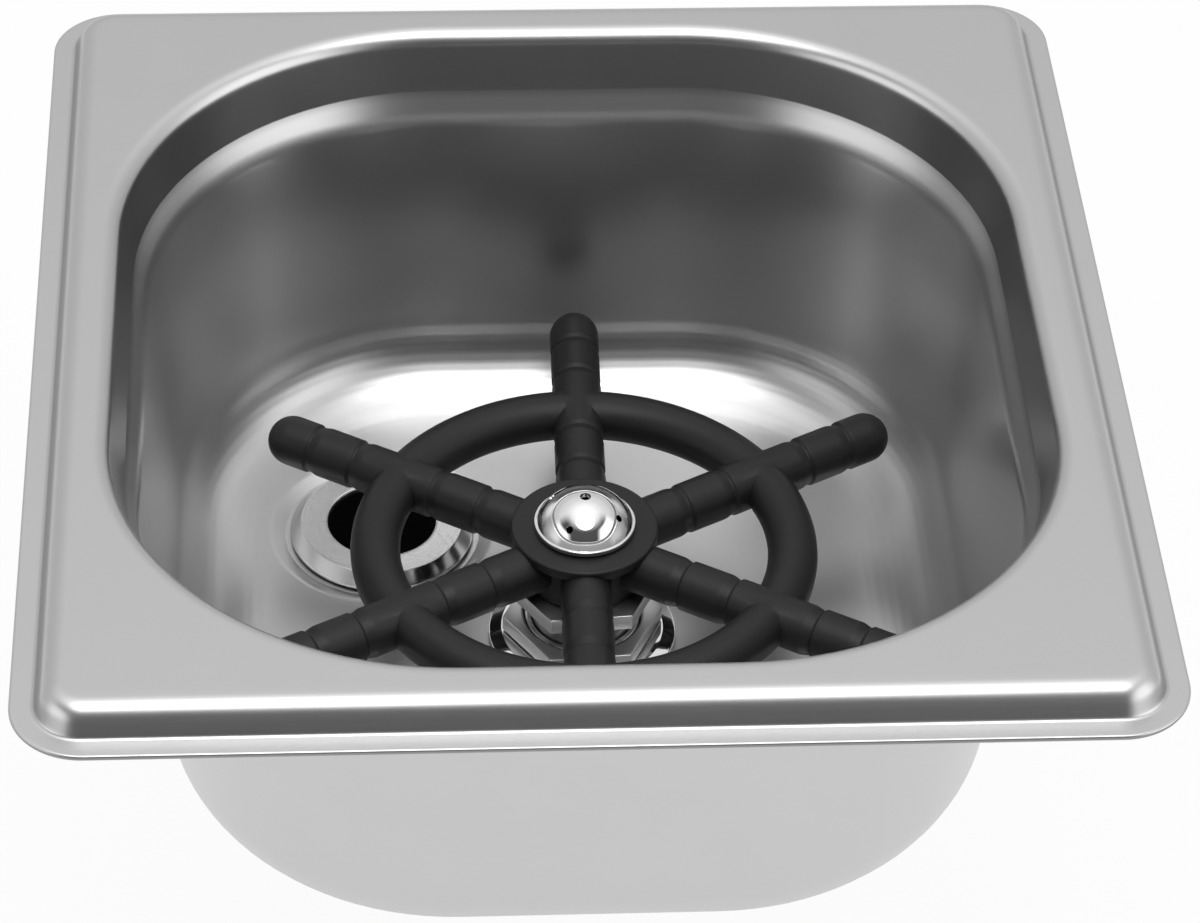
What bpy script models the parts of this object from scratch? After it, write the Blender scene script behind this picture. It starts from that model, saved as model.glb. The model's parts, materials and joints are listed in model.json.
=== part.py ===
"""Built-in glass rinser: a sixth-size steel basin that hangs by its flange in a worktop cut-out.

In the basin's floor stand a push valve with a wheel-shaped press head and spray nozzle, and a drain.
A glass is set upside down on the wheel and pressed: the plunger opens the valve and the nozzle sprays.

Metres, +Z up. X runs left to right and Y away from the user. The origin is the centre of the rim, in the
plane of the lip's underside, which lies on the worktop. Pieces on the valve and on the drain are
placed by their height above the basin's floor, on an empty that stands at the foot of each axis.
"""

import math

import bmesh
import bpy
from mathutils import Matrix, Vector

# Clearances between pieces
CONTACT_GAP = 0.0003
RUNNING_GAP = 0.00006
THREAD_GAP = 0.0003
FLOOR_HOLE_GAP = 0.0004
OVERRUN = 0.002
WELD_DISTANCE = 0.00001

# How finely round shapes are divided
CORNER_STEPS = 7
TURN_STEPS = 20
SMALL_TURN_STEPS = 16
RIM_TURN_STEPS = 28
ARM_STEPS = 10
RING_STEPS = 32
RING_SECTION_STEPS = 8
O_RING_SECTION_STEPS = 6
SMALL_HOLE_STEPS = 8
BEND_STEPS = 3
FLOOR_BEND_STEPS = 5
LEDGE_BEND_STEPS = 2
TIP_STEPS = 3
DOME_STEPS = 5
SPRING_POINTS_PER_TURN = 10

# Basin
RIM_WIDTH = 0.162
RIM_LENGTH = 0.176
RIM_CORNER = 0.0105
SHEET = 0.0008
LIP_WIDTH = 0.0033
LIP_FILLET = 0.0008
STEP_HEIGHT = 0.005
STEP_CORNER = 0.007
STEP_BEND = 0.0034
STEP_LEAN_DEG = 26.0
OPENING_WIDTH = 0.1384
OPENING_LENGTH = 0.1502
OPENING_CORNER = 0.0503
OPENING_BEND = 0.0027
NECK_DEPTH = 0.0098
NECK_INSET = 0.0021
NECK_FILLET = 0.0024
LEDGE_INSET = 0.0021
LEDGE_DROP = 0.0042
LEDGE_BEND = 0.009
PAN_DEPTH = 0.065
WALL_INSET = 0.00455
FLOOR_BEND = 0.0132
FLOOR_TOP = STEP_HEIGHT - PAN_DEPTH + SHEET

# Valve, on its axis in the basin's floor
VALVE_X = 0.0021
VALVE_Y = 0.0011
VALVE_TAIL_RADIUS = 0.01048
INLET_CLEARANCE = 0.0016
THREAD_PITCH = 0.001814
THREAD_DEPTH = 0.00116
HEX_ACROSS_FLATS = 0.022
HEX_TURN_DEG = 4.0
LOWER_HEX_HEIGHT = 0.0027
CHAMFER_DEG = 30.0
NUT_FACE_SHARE = 0.97
WASHER_RADIUS = 0.01485
WASHER_TOP_RADIUS = 0.0128
WASHER_THICKNESS = 0.0013
WASHER_EDGE = 0.0007
WASHER_RECESS_RADIUS = 0.0132
VALVE_GASKET_RADIUS = 0.0129
VALVE_GASKET_THICKNESS = 0.0005
UNDER_GASKET_THICKNESS = 0.0015
UNDER_GASKET_RADIUS = 0.0140
BACKING_WASHER_RADIUS = 0.0148
BACKING_WASHER_THICKNESS = 0.0015
VALVE_NUT_ACROSS_FLATS = 0.030
VALVE_NUT_HEIGHT = 0.007
VALVE_NUT_TURN_DEG = 20.0
THREAD_START = 0.0034
TAIL_CHAMFER = 0.0008

# Plunger, which slides and turns in the valve body
PRESS_TRAVEL = 0.005
STOP_CLEARANCE = 0.0005
SHAFT_RADIUS = 0.008
UPPER_HEX_HEIGHT = 0.0027
SHAFT_FOOT = -0.012
SPIGOT_RADIUS = 0.0055
SPIGOT_LENGTH = 0.0072
SOCKET_RADIUS = 0.0039
SOCKET_DEPTH = 0.005
WATERWAY_RADIUS = 0.0022
WATERWAY_FOOT = -0.019
CROSS_HOLE_RADIUS = 0.0013
CROSS_HOLE_HEIGHT = -0.0165
STEM_RADIUS = 0.004
STEM_STEP = -0.020
STEM_TIP_RADIUS = 0.003
O_RING_GROOVE_RADIUS = 0.0065
O_RING_GROOVE_WIDTH = 0.0017
O_RING_SECTION = 0.00062
O_RING_UPPER = -0.0034
O_RING_LOWER = -0.0088

# Bush, seat, spring and disc in the valve body
BUSH_WALL = 0.0010
BUSH_LENGTH = 0.0054
BUSH_SINK = 0.0003
THRUST_WASHER_RADIUS = 0.0078
THRUST_WASHER_THICKNESS = 0.0008
SPRING_RADIUS = 0.0060
SPRING_WIRE_RADIUS = 0.0005
SPRING_LENGTH = 0.013
SPRING_TURNS = 5
LEDGE_THICKNESS = 0.0015
LEDGE_HOLE_RADIUS = 0.0052
SEAT_OUTER_RADIUS = 0.0079
SEAT_HOLE_RADIUS = 0.0048
SEAT_THICKNESS = 0.002
DISC_RADIUS = 0.0069
DISC_THICKNESS = 0.002
DISC_WASHER_RADIUS = 0.0055
DISC_WASHER_THICKNESS = 0.0008
SCREW_SHANK_RADIUS = 0.0015
SCREW_SHANK_LENGTH = 0.0077
SCREW_HEAD_RADIUS = 0.003
SCREW_HEAD_HEIGHT = 0.0018
SCREW_SLOT_WIDTH = 0.0008
SCREW_SLOT_DEPTH = 0.0008

# Filter cup in the valve's inlet
FILTER_HEIGHT = 0.0034
FILTER_WALL = 0.0006
FILTER_HOLE_RADIUS = 0.0011
FILTER_HOLE_CIRCLE = 0.0043
FILTER_HOLE_COUNT = 6

# Press wheel
WHEEL_TURN_DEG = -1.0
ARM_COUNT = 6
WHEEL_PLANE = 0.0179
HUB_HEIGHT = 0.0094
HUB_RADIUS = 0.0093
HUB_DISC_RADIUS = 0.01145
HUB_DISC_THICKNESS = 0.0017
HUB_EDGE = 0.0004
ARM_RADIUS = 0.004
ARM_ROOT = 0.0075
ARM_LENGTH = 0.0529
INNER_GROOVE_SHARES = (0.428, 0.856)
OUTER_GROOVE_SHARES = (0.232, 0.713)
ARM_GROOVE_DEPTH = 0.0004
ARM_GROOVE_WIDTH = 0.0015
RING_RADIUS = 0.0326
RING_SECTION_RADIUS = 0.0039

# Spray nozzle
NOZZLE_GASKET_RADIUS = 0.0067
NOZZLE_GASKET_THICKNESS = 0.0008
CAP_RIM_RADIUS = 0.0079
CAP_RIM_THICKNESS = 0.0008
CAP_RIM_EDGE = 0.0003
CAP_DOME_RADIUS = 0.0073
CAP_DOME_HEIGHT = 0.0048
CAP_WALL = 0.0008
CAP_SKIRT_RADIUS = 0.0036
CAP_SKIRT_LENGTH = 0.0068
CAP_BORE_RADIUS = 0.0024
APEX_HOLE_RADIUS = 0.00085
SPRAY_HOLE_RADIUS = 0.00055
SPRAY_HOLE_COUNT = 4
SPRAY_HOLE_TURN_DEG = -27.5
SPRAY_HOLE_LEAN_DEG = 67.0

# Drain
DRAIN_X = -0.0292
DRAIN_Y = 0.0273
DRAIN_BORE_RADIUS = 0.00875
DRAIN_WALL = 0.00447
DRAIN_TAIL_RADIUS = DRAIN_BORE_RADIUS + DRAIN_WALL
DRAIN_FLANGE_OVERHANG = 0.00198
DRAIN_FLANGE_RADIUS = DRAIN_TAIL_RADIUS + DRAIN_FLANGE_OVERHANG
DRAIN_CHAMFER_WIDTH = 0.0024
DRAIN_FLAT_RADIUS = DRAIN_FLANGE_RADIUS - DRAIN_CHAMFER_WIDTH
DRAIN_FLANGE_THICKNESS = 0.0015
DRAIN_CHAMFER_DROP = 0.0007
DRAIN_TAIL_LENGTH = 0.036
DRAIN_THREAD_START = 0.0048
DRAIN_BORE_EDGE = 0.0003
RECESS_DEPTH = 0.0009
RECESS_MARGIN = 0.0014
RECESS_SLOPE_WIDTH = 0.0015
RECESS_FLOOR_RADIUS = DRAIN_FLANGE_RADIUS + RECESS_MARGIN
RECESS_TOP_RADIUS = RECESS_FLOOR_RADIUS + RECESS_SLOPE_WIDTH
DRAIN_GASKET_MARGIN = 0.0002
DRAIN_GASKET_RADIUS = DRAIN_FLANGE_RADIUS - DRAIN_GASKET_MARGIN
DRAIN_GASKET_THICKNESS = 0.0006
DRAIN_UNDER_GASKET_OVERHANG = 0.00478
DRAIN_UNDER_GASKET_RADIUS = DRAIN_TAIL_RADIUS + DRAIN_UNDER_GASKET_OVERHANG
DRAIN_UNDER_GASKET_THICKNESS = 0.002
DRAIN_BACKING_OVERHANG = 0.0004
DRAIN_BACKING_RADIUS = DRAIN_UNDER_GASKET_RADIUS + DRAIN_BACKING_OVERHANG
DRAIN_BACKING_THICKNESS = 0.0015
DRAIN_NUT_ACROSS_FLATS = 0.036
DRAIN_NUT_HEIGHT = 0.008
DRAIN_NUT_TURN_DEG = 8.0

# Heights above the basin's floor, on the valve's axis
WASHER_FOOT = CONTACT_GAP
WASHER_TOP = WASHER_FOOT + WASHER_THICKNESS
LOWER_HEX_FOOT = WASHER_TOP + CONTACT_GAP
LOWER_HEX_TOP = LOWER_HEX_FOOT + LOWER_HEX_HEIGHT
UPPER_HEX_FOOT = LOWER_HEX_TOP + PRESS_TRAVEL + STOP_CLEARANCE
UPPER_HEX_TOP = UPPER_HEX_FOOT + UPPER_HEX_HEIGHT
HUB_FOOT = UPPER_HEX_TOP + CONTACT_GAP
HUB_TOP = HUB_FOOT + HUB_HEIGHT
SPIGOT_TOP = UPPER_HEX_TOP + SPIGOT_LENGTH
THRUST_WASHER_TOP = SHAFT_FOOT - CONTACT_GAP
SPRING_TOP = THRUST_WASHER_TOP - THRUST_WASHER_THICKNESS - CONTACT_GAP
SPRING_FOOT = SPRING_TOP - SPRING_LENGTH
LEDGE_TOP = SPRING_FOOT - CONTACT_GAP
LEDGE_FOOT = LEDGE_TOP - LEDGE_THICKNESS
SEAT_TOP = LEDGE_FOOT - CONTACT_GAP
SEAT_FOOT = SEAT_TOP - SEAT_THICKNESS
STEM_FOOT = SEAT_FOOT
DISC_TOP = STEM_FOOT - CONTACT_GAP
DISC_WASHER_TOP = DISC_TOP - DISC_THICKNESS - CONTACT_GAP
SCREW_SEAT = DISC_WASHER_TOP - DISC_WASHER_THICKNESS - CONTACT_GAP
SCREW_FOOT_PRESSED = SCREW_SEAT - SCREW_HEAD_HEIGHT - PRESS_TRAVEL
VALVE_TAIL_LENGTH = FILTER_HEIGHT + INLET_CLEARANCE - SCREW_FOOT_PRESSED


def facet_reach(radius, steps):
    """Radius of the corners of a faceted circle whose flats lie at the given radius."""
    return radius / math.cos(math.pi / steps)


GUIDE_BORE_RADIUS = facet_reach(SHAFT_RADIUS + RUNNING_GAP, TURN_STEPS)
BUSH_OUTER_RADIUS = GUIDE_BORE_RADIUS + BUSH_WALL
BUSH_POCKET_RADIUS = facet_reach(BUSH_OUTER_RADIUS + RUNNING_GAP, TURN_STEPS)
SPIGOT_BORE_RADIUS = facet_reach(SPIGOT_RADIUS, TURN_STEPS) + THREAD_GAP
NUT_BORE_RADIUS = facet_reach(VALVE_TAIL_RADIUS, TURN_STEPS) + THREAD_GAP
DRAIN_NUT_BORE_RADIUS = facet_reach(DRAIN_TAIL_RADIUS, TURN_STEPS) + THREAD_GAP
SHANK_HOLE_RADIUS = facet_reach(SCREW_SHANK_RADIUS, TURN_STEPS) + CONTACT_GAP


def clear_scene():
    """Empty the open file."""
    for item in list(bpy.data.objects):
        bpy.data.objects.remove(item, do_unlink=True)
    for group in list(bpy.data.collections):
        bpy.data.collections.remove(group)


def new_collection(name):
    """A collection under the scene's own."""
    group = bpy.data.collections.new(name)
    bpy.context.scene.collection.children.link(group)
    return group


def new_material(name, color, roughness, metallic):
    """A plain Principled material."""
    material = bpy.data.materials.new(name)
    material.use_nodes = True
    shader = material.node_tree.nodes["Principled BSDF"]
    shader.inputs["Base Color"].default_value = (*color, 1.0)
    shader.inputs["Roughness"].default_value = roughness
    shader.inputs["Metallic"].default_value = metallic
    material.diffuse_color = (*color, 1.0)
    return material


clear_scene()
PARTS = new_collection("glass_rinser")
CUTTERS = new_collection("cutters")

STEEL = new_material("satin_steel", (0.62, 0.62, 0.61), 0.32, 1.0)
TURNED_STEEL = new_material("turned_steel", (0.70, 0.70, 0.69), 0.22, 1.0)
ZINC = new_material("zinc_plate", (0.55, 0.56, 0.57), 0.40, 1.0)
CHROME = new_material("chrome", (0.86, 0.86, 0.87), 0.06, 1.0)
BRASS = new_material("brass", (0.78, 0.60, 0.30), 0.30, 1.0)
SPRING_STEEL = new_material("spring_steel", (0.50, 0.50, 0.50), 0.30, 1.0)
BLACK_PLASTIC = new_material("black_plastic", (0.035, 0.035, 0.036), 0.55, 0.0)
RUBBER = new_material("rubber", (0.03, 0.03, 0.03), 0.75, 0.0)
WHITE_PLASTIC = new_material("white_plastic", (0.80, 0.80, 0.78), 0.45, 0.0)


def place(item, material, parent):
    """Put a visible piece in the parts collection, on its axis."""
    PARTS.objects.link(item)
    item.data.materials.append(material)
    item.parent = parent
    return item


def helper(item, parent):
    """Put a cutter, or a shape that is joined to a piece, in the cutters collection."""
    CUTTERS.objects.link(item)
    item.parent = parent
    item.hide_render = True
    item.display_type = "WIRE"
    return item


def new_axis(name, x, y):
    """An empty at the foot of an axis, level with the basin's floor."""
    axis = bpy.data.objects.new(name, None)
    axis.location = (x, y, FLOOR_TOP)
    PARTS.objects.link(axis)
    return axis


def boolean(item, other, operation):
    """Add an exact Boolean modifier."""
    step = item.modifiers.new(f"{operation.lower()}_{other.name}", "BOOLEAN")
    step.operation = operation
    step.object = other
    step.solver = "EXACT"
    return item


def turned(name, profile, steps=TURN_STEPS, closed=False):
    """A turned shape: (radius, height) points that run down the outer side, top to bottom."""
    mesh = bpy.data.meshes.new(name)
    points = [(radius, 0, height) for radius, height in profile]
    edges = [(i, i + 1) for i in range(len(points) - 1)]
    if closed:
        edges.append((len(points) - 1, 0))
    mesh.from_pydata(points, edges, [])
    item = bpy.data.objects.new(name, mesh)
    screw = item.modifiers.new("turn", "SCREW")
    screw.steps = steps
    screw.render_steps = steps
    screw.use_merge_vertices = True
    screw.merge_threshold = WELD_DISTANCE
    screw.use_smooth_shade = True
    return item


def cylinder(name, radius, foot, top, steps=TURN_STEPS):
    """A solid round bar along the axis."""
    return turned(name, [(0, top), (radius, top), (radius, foot), (0, foot)], steps)


def collar(name, inner, outer, foot, top, steps=TURN_STEPS):
    """A flat ring along the axis."""
    profile = [(outer, top), (outer, foot), (inner, foot), (inner, top)]
    return turned(name, profile, steps, closed=True)


def hexagon(name, across_flats, foot, top, turn_deg):
    """A six-sided bar, turned from having one flat towards -Y."""
    shape = bmesh.new()
    corner = across_flats / 2 / math.cos(math.pi / 6)
    bmesh.ops.create_cone(
        shape, cap_ends=True, segments=6, radius1=corner, radius2=corner, depth=top - foot
    )
    bmesh.ops.translate(shape, verts=shape.verts, vec=(0, 0, (top + foot) / 2))
    mesh = bpy.data.meshes.new(name)
    shape.to_mesh(mesh)
    shape.free()
    item = bpy.data.objects.new(name, mesh)
    item.rotation_euler = (0, 0, math.radians(turn_deg) + math.pi / 6)
    return item


def thread_profile(crest, top, foot):
    """Points of a thread's ridges down the outer side of a tail."""
    ridges = int((top - foot - TAIL_CHAMFER) / THREAD_PITCH)
    points = []
    for i in range(ridges):
        height = top - i * THREAD_PITCH
        points.append((crest - THREAD_DEPTH, height - THREAD_PITCH / 4))
        points.append((crest, height - THREAD_PITCH * 3 / 4))
    return points


def arc(center, radius, start_deg, end_deg, steps):
    """Points of an arc in a section: angles are counted from +radius towards +height."""
    points = []
    for i in range(steps + 1):
        angle = math.radians(start_deg + (end_deg - start_deg) * i / steps)
        along = center[0] + radius * math.cos(angle)
        points.append((along, center[1] + radius * math.sin(angle)))
    return points


def bend(before, corner, after, radius, steps):
    """Points that round a section's corner, from the line that comes in to the line that goes out."""
    corner = Vector(corner)
    back, on = (Vector(before) - corner).normalized(), (Vector(after) - corner).normalized()
    half = back.angle(on) / 2
    center = corner + (back + on).normalized() * radius / math.sin(half)
    arm = corner + back * radius / math.tan(half) - center
    sweep = math.pi - 2 * half
    if back.cross(on) > 0:
        sweep = -sweep
    return [tuple(center + Matrix.Rotation(sweep * i / steps, 2) @ arm) for i in range(steps + 1)]


def rounded_section(corners):
    """A section's points: each corner between the ends is (offset, height, bend radius, steps)."""
    points = []
    for before, corner, after in zip(corners, corners[1:], corners[2:]):
        points += bend(before[:2], corner[:2], after[:2], *corner[2:])
    return points


def rim_stations():
    """Lip, step and outer bend of the flange: (half width, half length, corner radius, height)."""
    crest = LIP_WIDTH + (STEP_HEIGHT - SHEET) * math.tan(math.radians(STEP_LEAN_DEG))
    corners = [
        (0, SHEET),
        (LIP_WIDTH, SHEET, LIP_FILLET, BEND_STEPS - 1),
        (crest, STEP_HEIGHT, STEP_BEND, BEND_STEPS),
        (crest + STEP_BEND, STEP_HEIGHT),
    ]
    stations = []
    for inset, height in [(0, SHEET), *rounded_section(corners)]:
        corner = STEP_CORNER + LIP_WIDTH - inset if inset > 0 else RIM_CORNER
        stations.append((RIM_WIDTH / 2 - inset, RIM_LENGTH / 2 - inset, corner, height))
    return stations


def body_stations():
    """Inner bend, neck, ledge, wall and floor bend of the basin, as the rim's stations."""
    neck_foot = STEP_HEIGHT - NECK_DEPTH
    ledge = -NECK_INSET - LEDGE_INSET
    wall = ledge - WALL_INSET
    corners = [
        (OPENING_BEND, STEP_HEIGHT),
        (0, STEP_HEIGHT, OPENING_BEND, BEND_STEPS),
        (-NECK_INSET, neck_foot, NECK_FILLET, 1),
        (ledge, neck_foot - LEDGE_DROP, LEDGE_BEND, LEDGE_BEND_STEPS),
        (wall, FLOOR_TOP, FLOOR_BEND, FLOOR_BEND_STEPS),
        (wall - FLOOR_BEND, FLOOR_TOP),
    ]
    stations = []
    for offset, height in rounded_section(corners):
        half_width, half_length = OPENING_WIDTH / 2 + offset, OPENING_LENGTH / 2 + offset
        stations.append((half_width, half_length, OPENING_CORNER + offset, height))
    return stations


def rounded_ring(half_width, half_length, corner, height):
    """Points of a rounded rectangle, anticlockwise seen from above."""
    points = []
    for quarter, (side_x, side_y) in enumerate(((1, 1), (-1, 1), (-1, -1), (1, -1))):
        for i in range(CORNER_STEPS + 1):
            angle = (quarter + i / CORNER_STEPS) * math.pi / 2
            x = side_x * (half_width - corner) + corner * math.cos(angle)
            y = side_y * (half_length - corner) + corner * math.sin(angle)
            points.append((x, y, height))
    return points


def make_basin(valve_axis, drain_axis):
    """The pressed pan: a loft of rounded rectangles made solid, its recess and its two holes."""
    shape = bmesh.new()
    rings = []
    for station in rim_stations() + body_stations():
        rings.append([shape.verts.new(point) for point in rounded_ring(*station)])
    for outer, inner in zip(rings, rings[1:]):
        for i in range(len(outer)):
            j = (i + 1) % len(outer)
            shape.faces.new((outer[i], outer[j], inner[j], inner[i]))
    shape.faces.new(rings[-1])
    mesh = bpy.data.meshes.new("basin")
    shape.to_mesh(mesh)
    shape.free()
    mesh.shade_smooth()
    basin = place(bpy.data.objects.new("basin", mesh), STEEL, None)
    solid = basin.modifiers.new("sheet", "SOLIDIFY")
    solid.thickness = SHEET
    solid.offset = -1
    solid.use_even_offset = True
    recess_foot = -RECESS_DEPTH - SHEET
    boss_profile = [
        (0, -SHEET / 2),
        (RECESS_TOP_RADIUS + SHEET, -SHEET / 2),
        (RECESS_FLOOR_RADIUS + SHEET, recess_foot),
        (0, recess_foot),
    ]
    boolean(basin, helper(turned("recess_boss", boss_profile, RIM_TURN_STEPS), drain_axis), "UNION")
    slope = (RECESS_TOP_RADIUS - RECESS_FLOOR_RADIUS) / RECESS_DEPTH
    recess_profile = [
        (0, OVERRUN),
        (RECESS_TOP_RADIUS + OVERRUN * slope, OVERRUN),
        (RECESS_FLOOR_RADIUS, -RECESS_DEPTH),
        (0, -RECESS_DEPTH),
    ]
    recess = helper(turned("recess_cutter", recess_profile, RIM_TURN_STEPS), drain_axis)
    boolean(basin, recess, "DIFFERENCE")
    holes = (
        ("drain_hole", DRAIN_TAIL_RADIUS, recess_foot, drain_axis),
        ("valve_hole", VALVE_TAIL_RADIUS, -SHEET, valve_axis),
    )
    for name, tail_radius, foot, axis in holes:
        hole = cylinder(name, tail_radius + FLOOR_HOLE_GAP, foot - OVERRUN, OVERRUN)
        boolean(basin, helper(hole, axis), "DIFFERENCE")
    return basin


def make_valve_body(axis):
    """Hexagon, threaded tail, pocket for the bush, spring chamber with its ledge, and inlet."""
    crest, foot = VALVE_TAIL_RADIUS, -VALVE_TAIL_LENGTH
    profile = [(0, LOWER_HEX_FOOT + LOWER_HEX_HEIGHT / 2), (crest, LOWER_HEX_FOOT + LOWER_HEX_HEIGHT / 2)]
    profile.append((crest, -THREAD_START))
    profile += thread_profile(crest, -THREAD_START, foot)
    profile += [(crest - THREAD_DEPTH, foot + TAIL_CHAMFER / 2), (crest - THREAD_DEPTH, foot), (0, foot)]
    body = place(turned("valve_body", profile, SMALL_TURN_STEPS), CHROME, axis)
    flats = hexagon("lower_hex", HEX_ACROSS_FLATS, LOWER_HEX_FOOT, LOWER_HEX_TOP, HEX_TURN_DEG)
    boolean(body, helper(flats, axis), "UNION")
    pocket_foot = LOWER_HEX_TOP - BUSH_SINK - BUSH_LENGTH - CONTACT_GAP
    bore = [
        (0, LOWER_HEX_TOP + OVERRUN),
        (BUSH_POCKET_RADIUS, LOWER_HEX_TOP + OVERRUN),
        (BUSH_POCKET_RADIUS, pocket_foot),
        (GUIDE_BORE_RADIUS, pocket_foot),
        (GUIDE_BORE_RADIUS, LEDGE_TOP),
        (LEDGE_HOLE_RADIUS, LEDGE_TOP),
        (LEDGE_HOLE_RADIUS, LEDGE_FOOT),
        (GUIDE_BORE_RADIUS, LEDGE_FOOT),
        (GUIDE_BORE_RADIUS, foot - OVERRUN),
        (0, foot - OVERRUN),
    ]
    return boolean(body, helper(turned("valve_bore", bore), axis), "DIFFERENCE")


def make_valve_fittings(axis):
    """Polished washer, gaskets, backing washer and locknut that hold the valve in the floor."""
    washer = [
        (WASHER_TOP_RADIUS, WASHER_TOP),
        (WASHER_RADIUS, WASHER_FOOT + WASHER_EDGE),
        (WASHER_RADIUS, WASHER_FOOT),
        (WASHER_RECESS_RADIUS, WASHER_FOOT),
        (WASHER_RECESS_RADIUS, WASHER_FOOT + VALVE_GASKET_THICKNESS + CONTACT_GAP),
        (NUT_BORE_RADIUS, WASHER_FOOT + VALVE_GASKET_THICKNESS + CONTACT_GAP),
        (NUT_BORE_RADIUS, WASHER_TOP),
    ]
    place(turned("valve_washer", washer, RIM_TURN_STEPS, closed=True), CHROME, axis)
    gasket_top = WASHER_FOOT + VALVE_GASKET_THICKNESS
    gasket = collar("valve_gasket", NUT_BORE_RADIUS, VALVE_GASKET_RADIUS, WASHER_FOOT, gasket_top)
    place(gasket, RUBBER, axis)
    top = -SHEET - CONTACT_GAP
    foot = top - UNDER_GASKET_THICKNESS
    under = collar("valve_under_gasket", NUT_BORE_RADIUS, UNDER_GASKET_RADIUS, foot, top)
    place(under, RUBBER, axis)
    top = foot - CONTACT_GAP
    foot = top - BACKING_WASHER_THICKNESS
    backing = collar("valve_backing_washer", NUT_BORE_RADIUS, BACKING_WASHER_RADIUS, foot, top)
    place(backing, ZINC, axis)
    top = foot - CONTACT_GAP
    make_locknut("valve_locknut", VALVE_NUT_ACROSS_FLATS, top, VALVE_NUT_HEIGHT, NUT_BORE_RADIUS,
                 VALVE_NUT_TURN_DEG, axis)


def make_locknut(name, across_flats, top, height, bore_radius, turn_deg, axis):
    """A thin hexagon nut, its corners chamfered at both ends, that clears the thread it sits on."""
    foot = top - height
    nut = place(hexagon(name, across_flats, foot, top, turn_deg), ZINC, axis)
    corner = across_flats / 2 / math.cos(math.pi / 6) + CONTACT_GAP
    face = across_flats / 2 * NUT_FACE_SHARE
    drop = (corner - face) * math.tan(math.radians(CHAMFER_DEG))
    profile = [
        (0, top),
        (face, top),
        (corner, top - drop),
        (corner, foot + drop),
        (face, foot),
        (0, foot),
    ]
    drum = helper(turned(f"{name}_drum", profile, RIM_TURN_STEPS), axis)
    boolean(nut, drum, "INTERSECT")
    bore = cylinder(f"{name}_bore", bore_radius, foot - OVERRUN, top + OVERRUN)
    return boolean(nut, helper(bore, axis), "DIFFERENCE")


def make_valve_inner(axis):
    """Bush, seat ring and inlet filter, fixed in the valve body."""
    bush_top = LOWER_HEX_TOP - BUSH_SINK
    bush_foot = bush_top - BUSH_LENGTH
    bush = collar("guide_bush", GUIDE_BORE_RADIUS, BUSH_OUTER_RADIUS, bush_foot, bush_top)
    place(bush, TURNED_STEEL, axis)
    seat = collar("seat_ring", SEAT_HOLE_RADIUS, SEAT_OUTER_RADIUS, SEAT_FOOT, SEAT_TOP)
    place(seat, WHITE_PLASTIC, axis)
    foot = -VALVE_TAIL_LENGTH
    top = foot + FILTER_HEIGHT
    rim = SHAFT_RADIUS + RUNNING_GAP - CONTACT_GAP
    inside = rim - FILTER_WALL
    cup = [(0, top), (rim, top), (rim, foot), (inside, foot), (inside, top - FILTER_WALL)]
    cup.append((0, top - FILTER_WALL))
    sieve = place(turned("inlet_filter", cup), WHITE_PLASTIC, axis)
    for i in range(FILTER_HOLE_COUNT + 1):
        low, high = foot + FILTER_WALL, top + FILTER_WALL
        drill = cylinder(f"filter_hole_{i}", FILTER_HOLE_RADIUS, low, high, SMALL_HOLE_STEPS)
        drill = helper(drill, axis)
        if i > 0:
            turn = 2 * math.pi * i / FILTER_HOLE_COUNT
            along, across = FILTER_HOLE_CIRCLE * math.cos(turn), FILTER_HOLE_CIRCLE * math.sin(turn)
            drill.location = (along, across, 0)
        boolean(sieve, drill, "DIFFERENCE")


def make_return_spring(axis):
    """A round-wire helix between the ledge and the thrust washer."""
    curve = bpy.data.curves.new("return_spring", "CURVE")
    curve.dimensions = "3D"
    curve.bevel_depth = SPRING_WIRE_RADIUS
    curve.bevel_resolution = 1
    curve.use_fill_caps = True
    count = SPRING_TURNS * SPRING_POINTS_PER_TURN + 1
    rise = SPRING_LENGTH - 2 * SPRING_WIRE_RADIUS
    spline = curve.splines.new("POLY")
    spline.points.add(count - 1)
    for i, point in enumerate(spline.points):
        angle = 2 * math.pi * i / SPRING_POINTS_PER_TURN
        height = SPRING_FOOT + SPRING_WIRE_RADIUS + rise * i / (count - 1)
        point.co = (SPRING_RADIUS * math.cos(angle), SPRING_RADIUS * math.sin(angle), height, 1)
    pitch = rise / SPRING_TURNS
    print(f"return_spring: least gap between turns {(pitch - 2 * SPRING_WIRE_RADIUS) * 1000:.2f} mm")
    return place(bpy.data.objects.new("return_spring", curve), SPRING_STEEL, axis)


def make_thrust_washer(axis):
    """The washer on which the plunger turns while the spring stands still."""
    inner = facet_reach(STEM_RADIUS, TURN_STEPS) + CONTACT_GAP
    foot = THRUST_WASHER_TOP - THRUST_WASHER_THICKNESS
    washer = collar("thrust_washer", inner, THRUST_WASHER_RADIUS, foot, THRUST_WASHER_TOP)
    return place(washer, WHITE_PLASTIC, axis)


def groove(height):
    """Points of an O-ring groove down the side of the plunger's shaft."""
    top, foot = height + O_RING_GROOVE_WIDTH / 2, height - O_RING_GROOVE_WIDTH / 2
    return [
        (SHAFT_RADIUS, top),
        (O_RING_GROOVE_RADIUS, top),
        (O_RING_GROOVE_RADIUS, foot),
        (SHAFT_RADIUS, foot),
    ]


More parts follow.
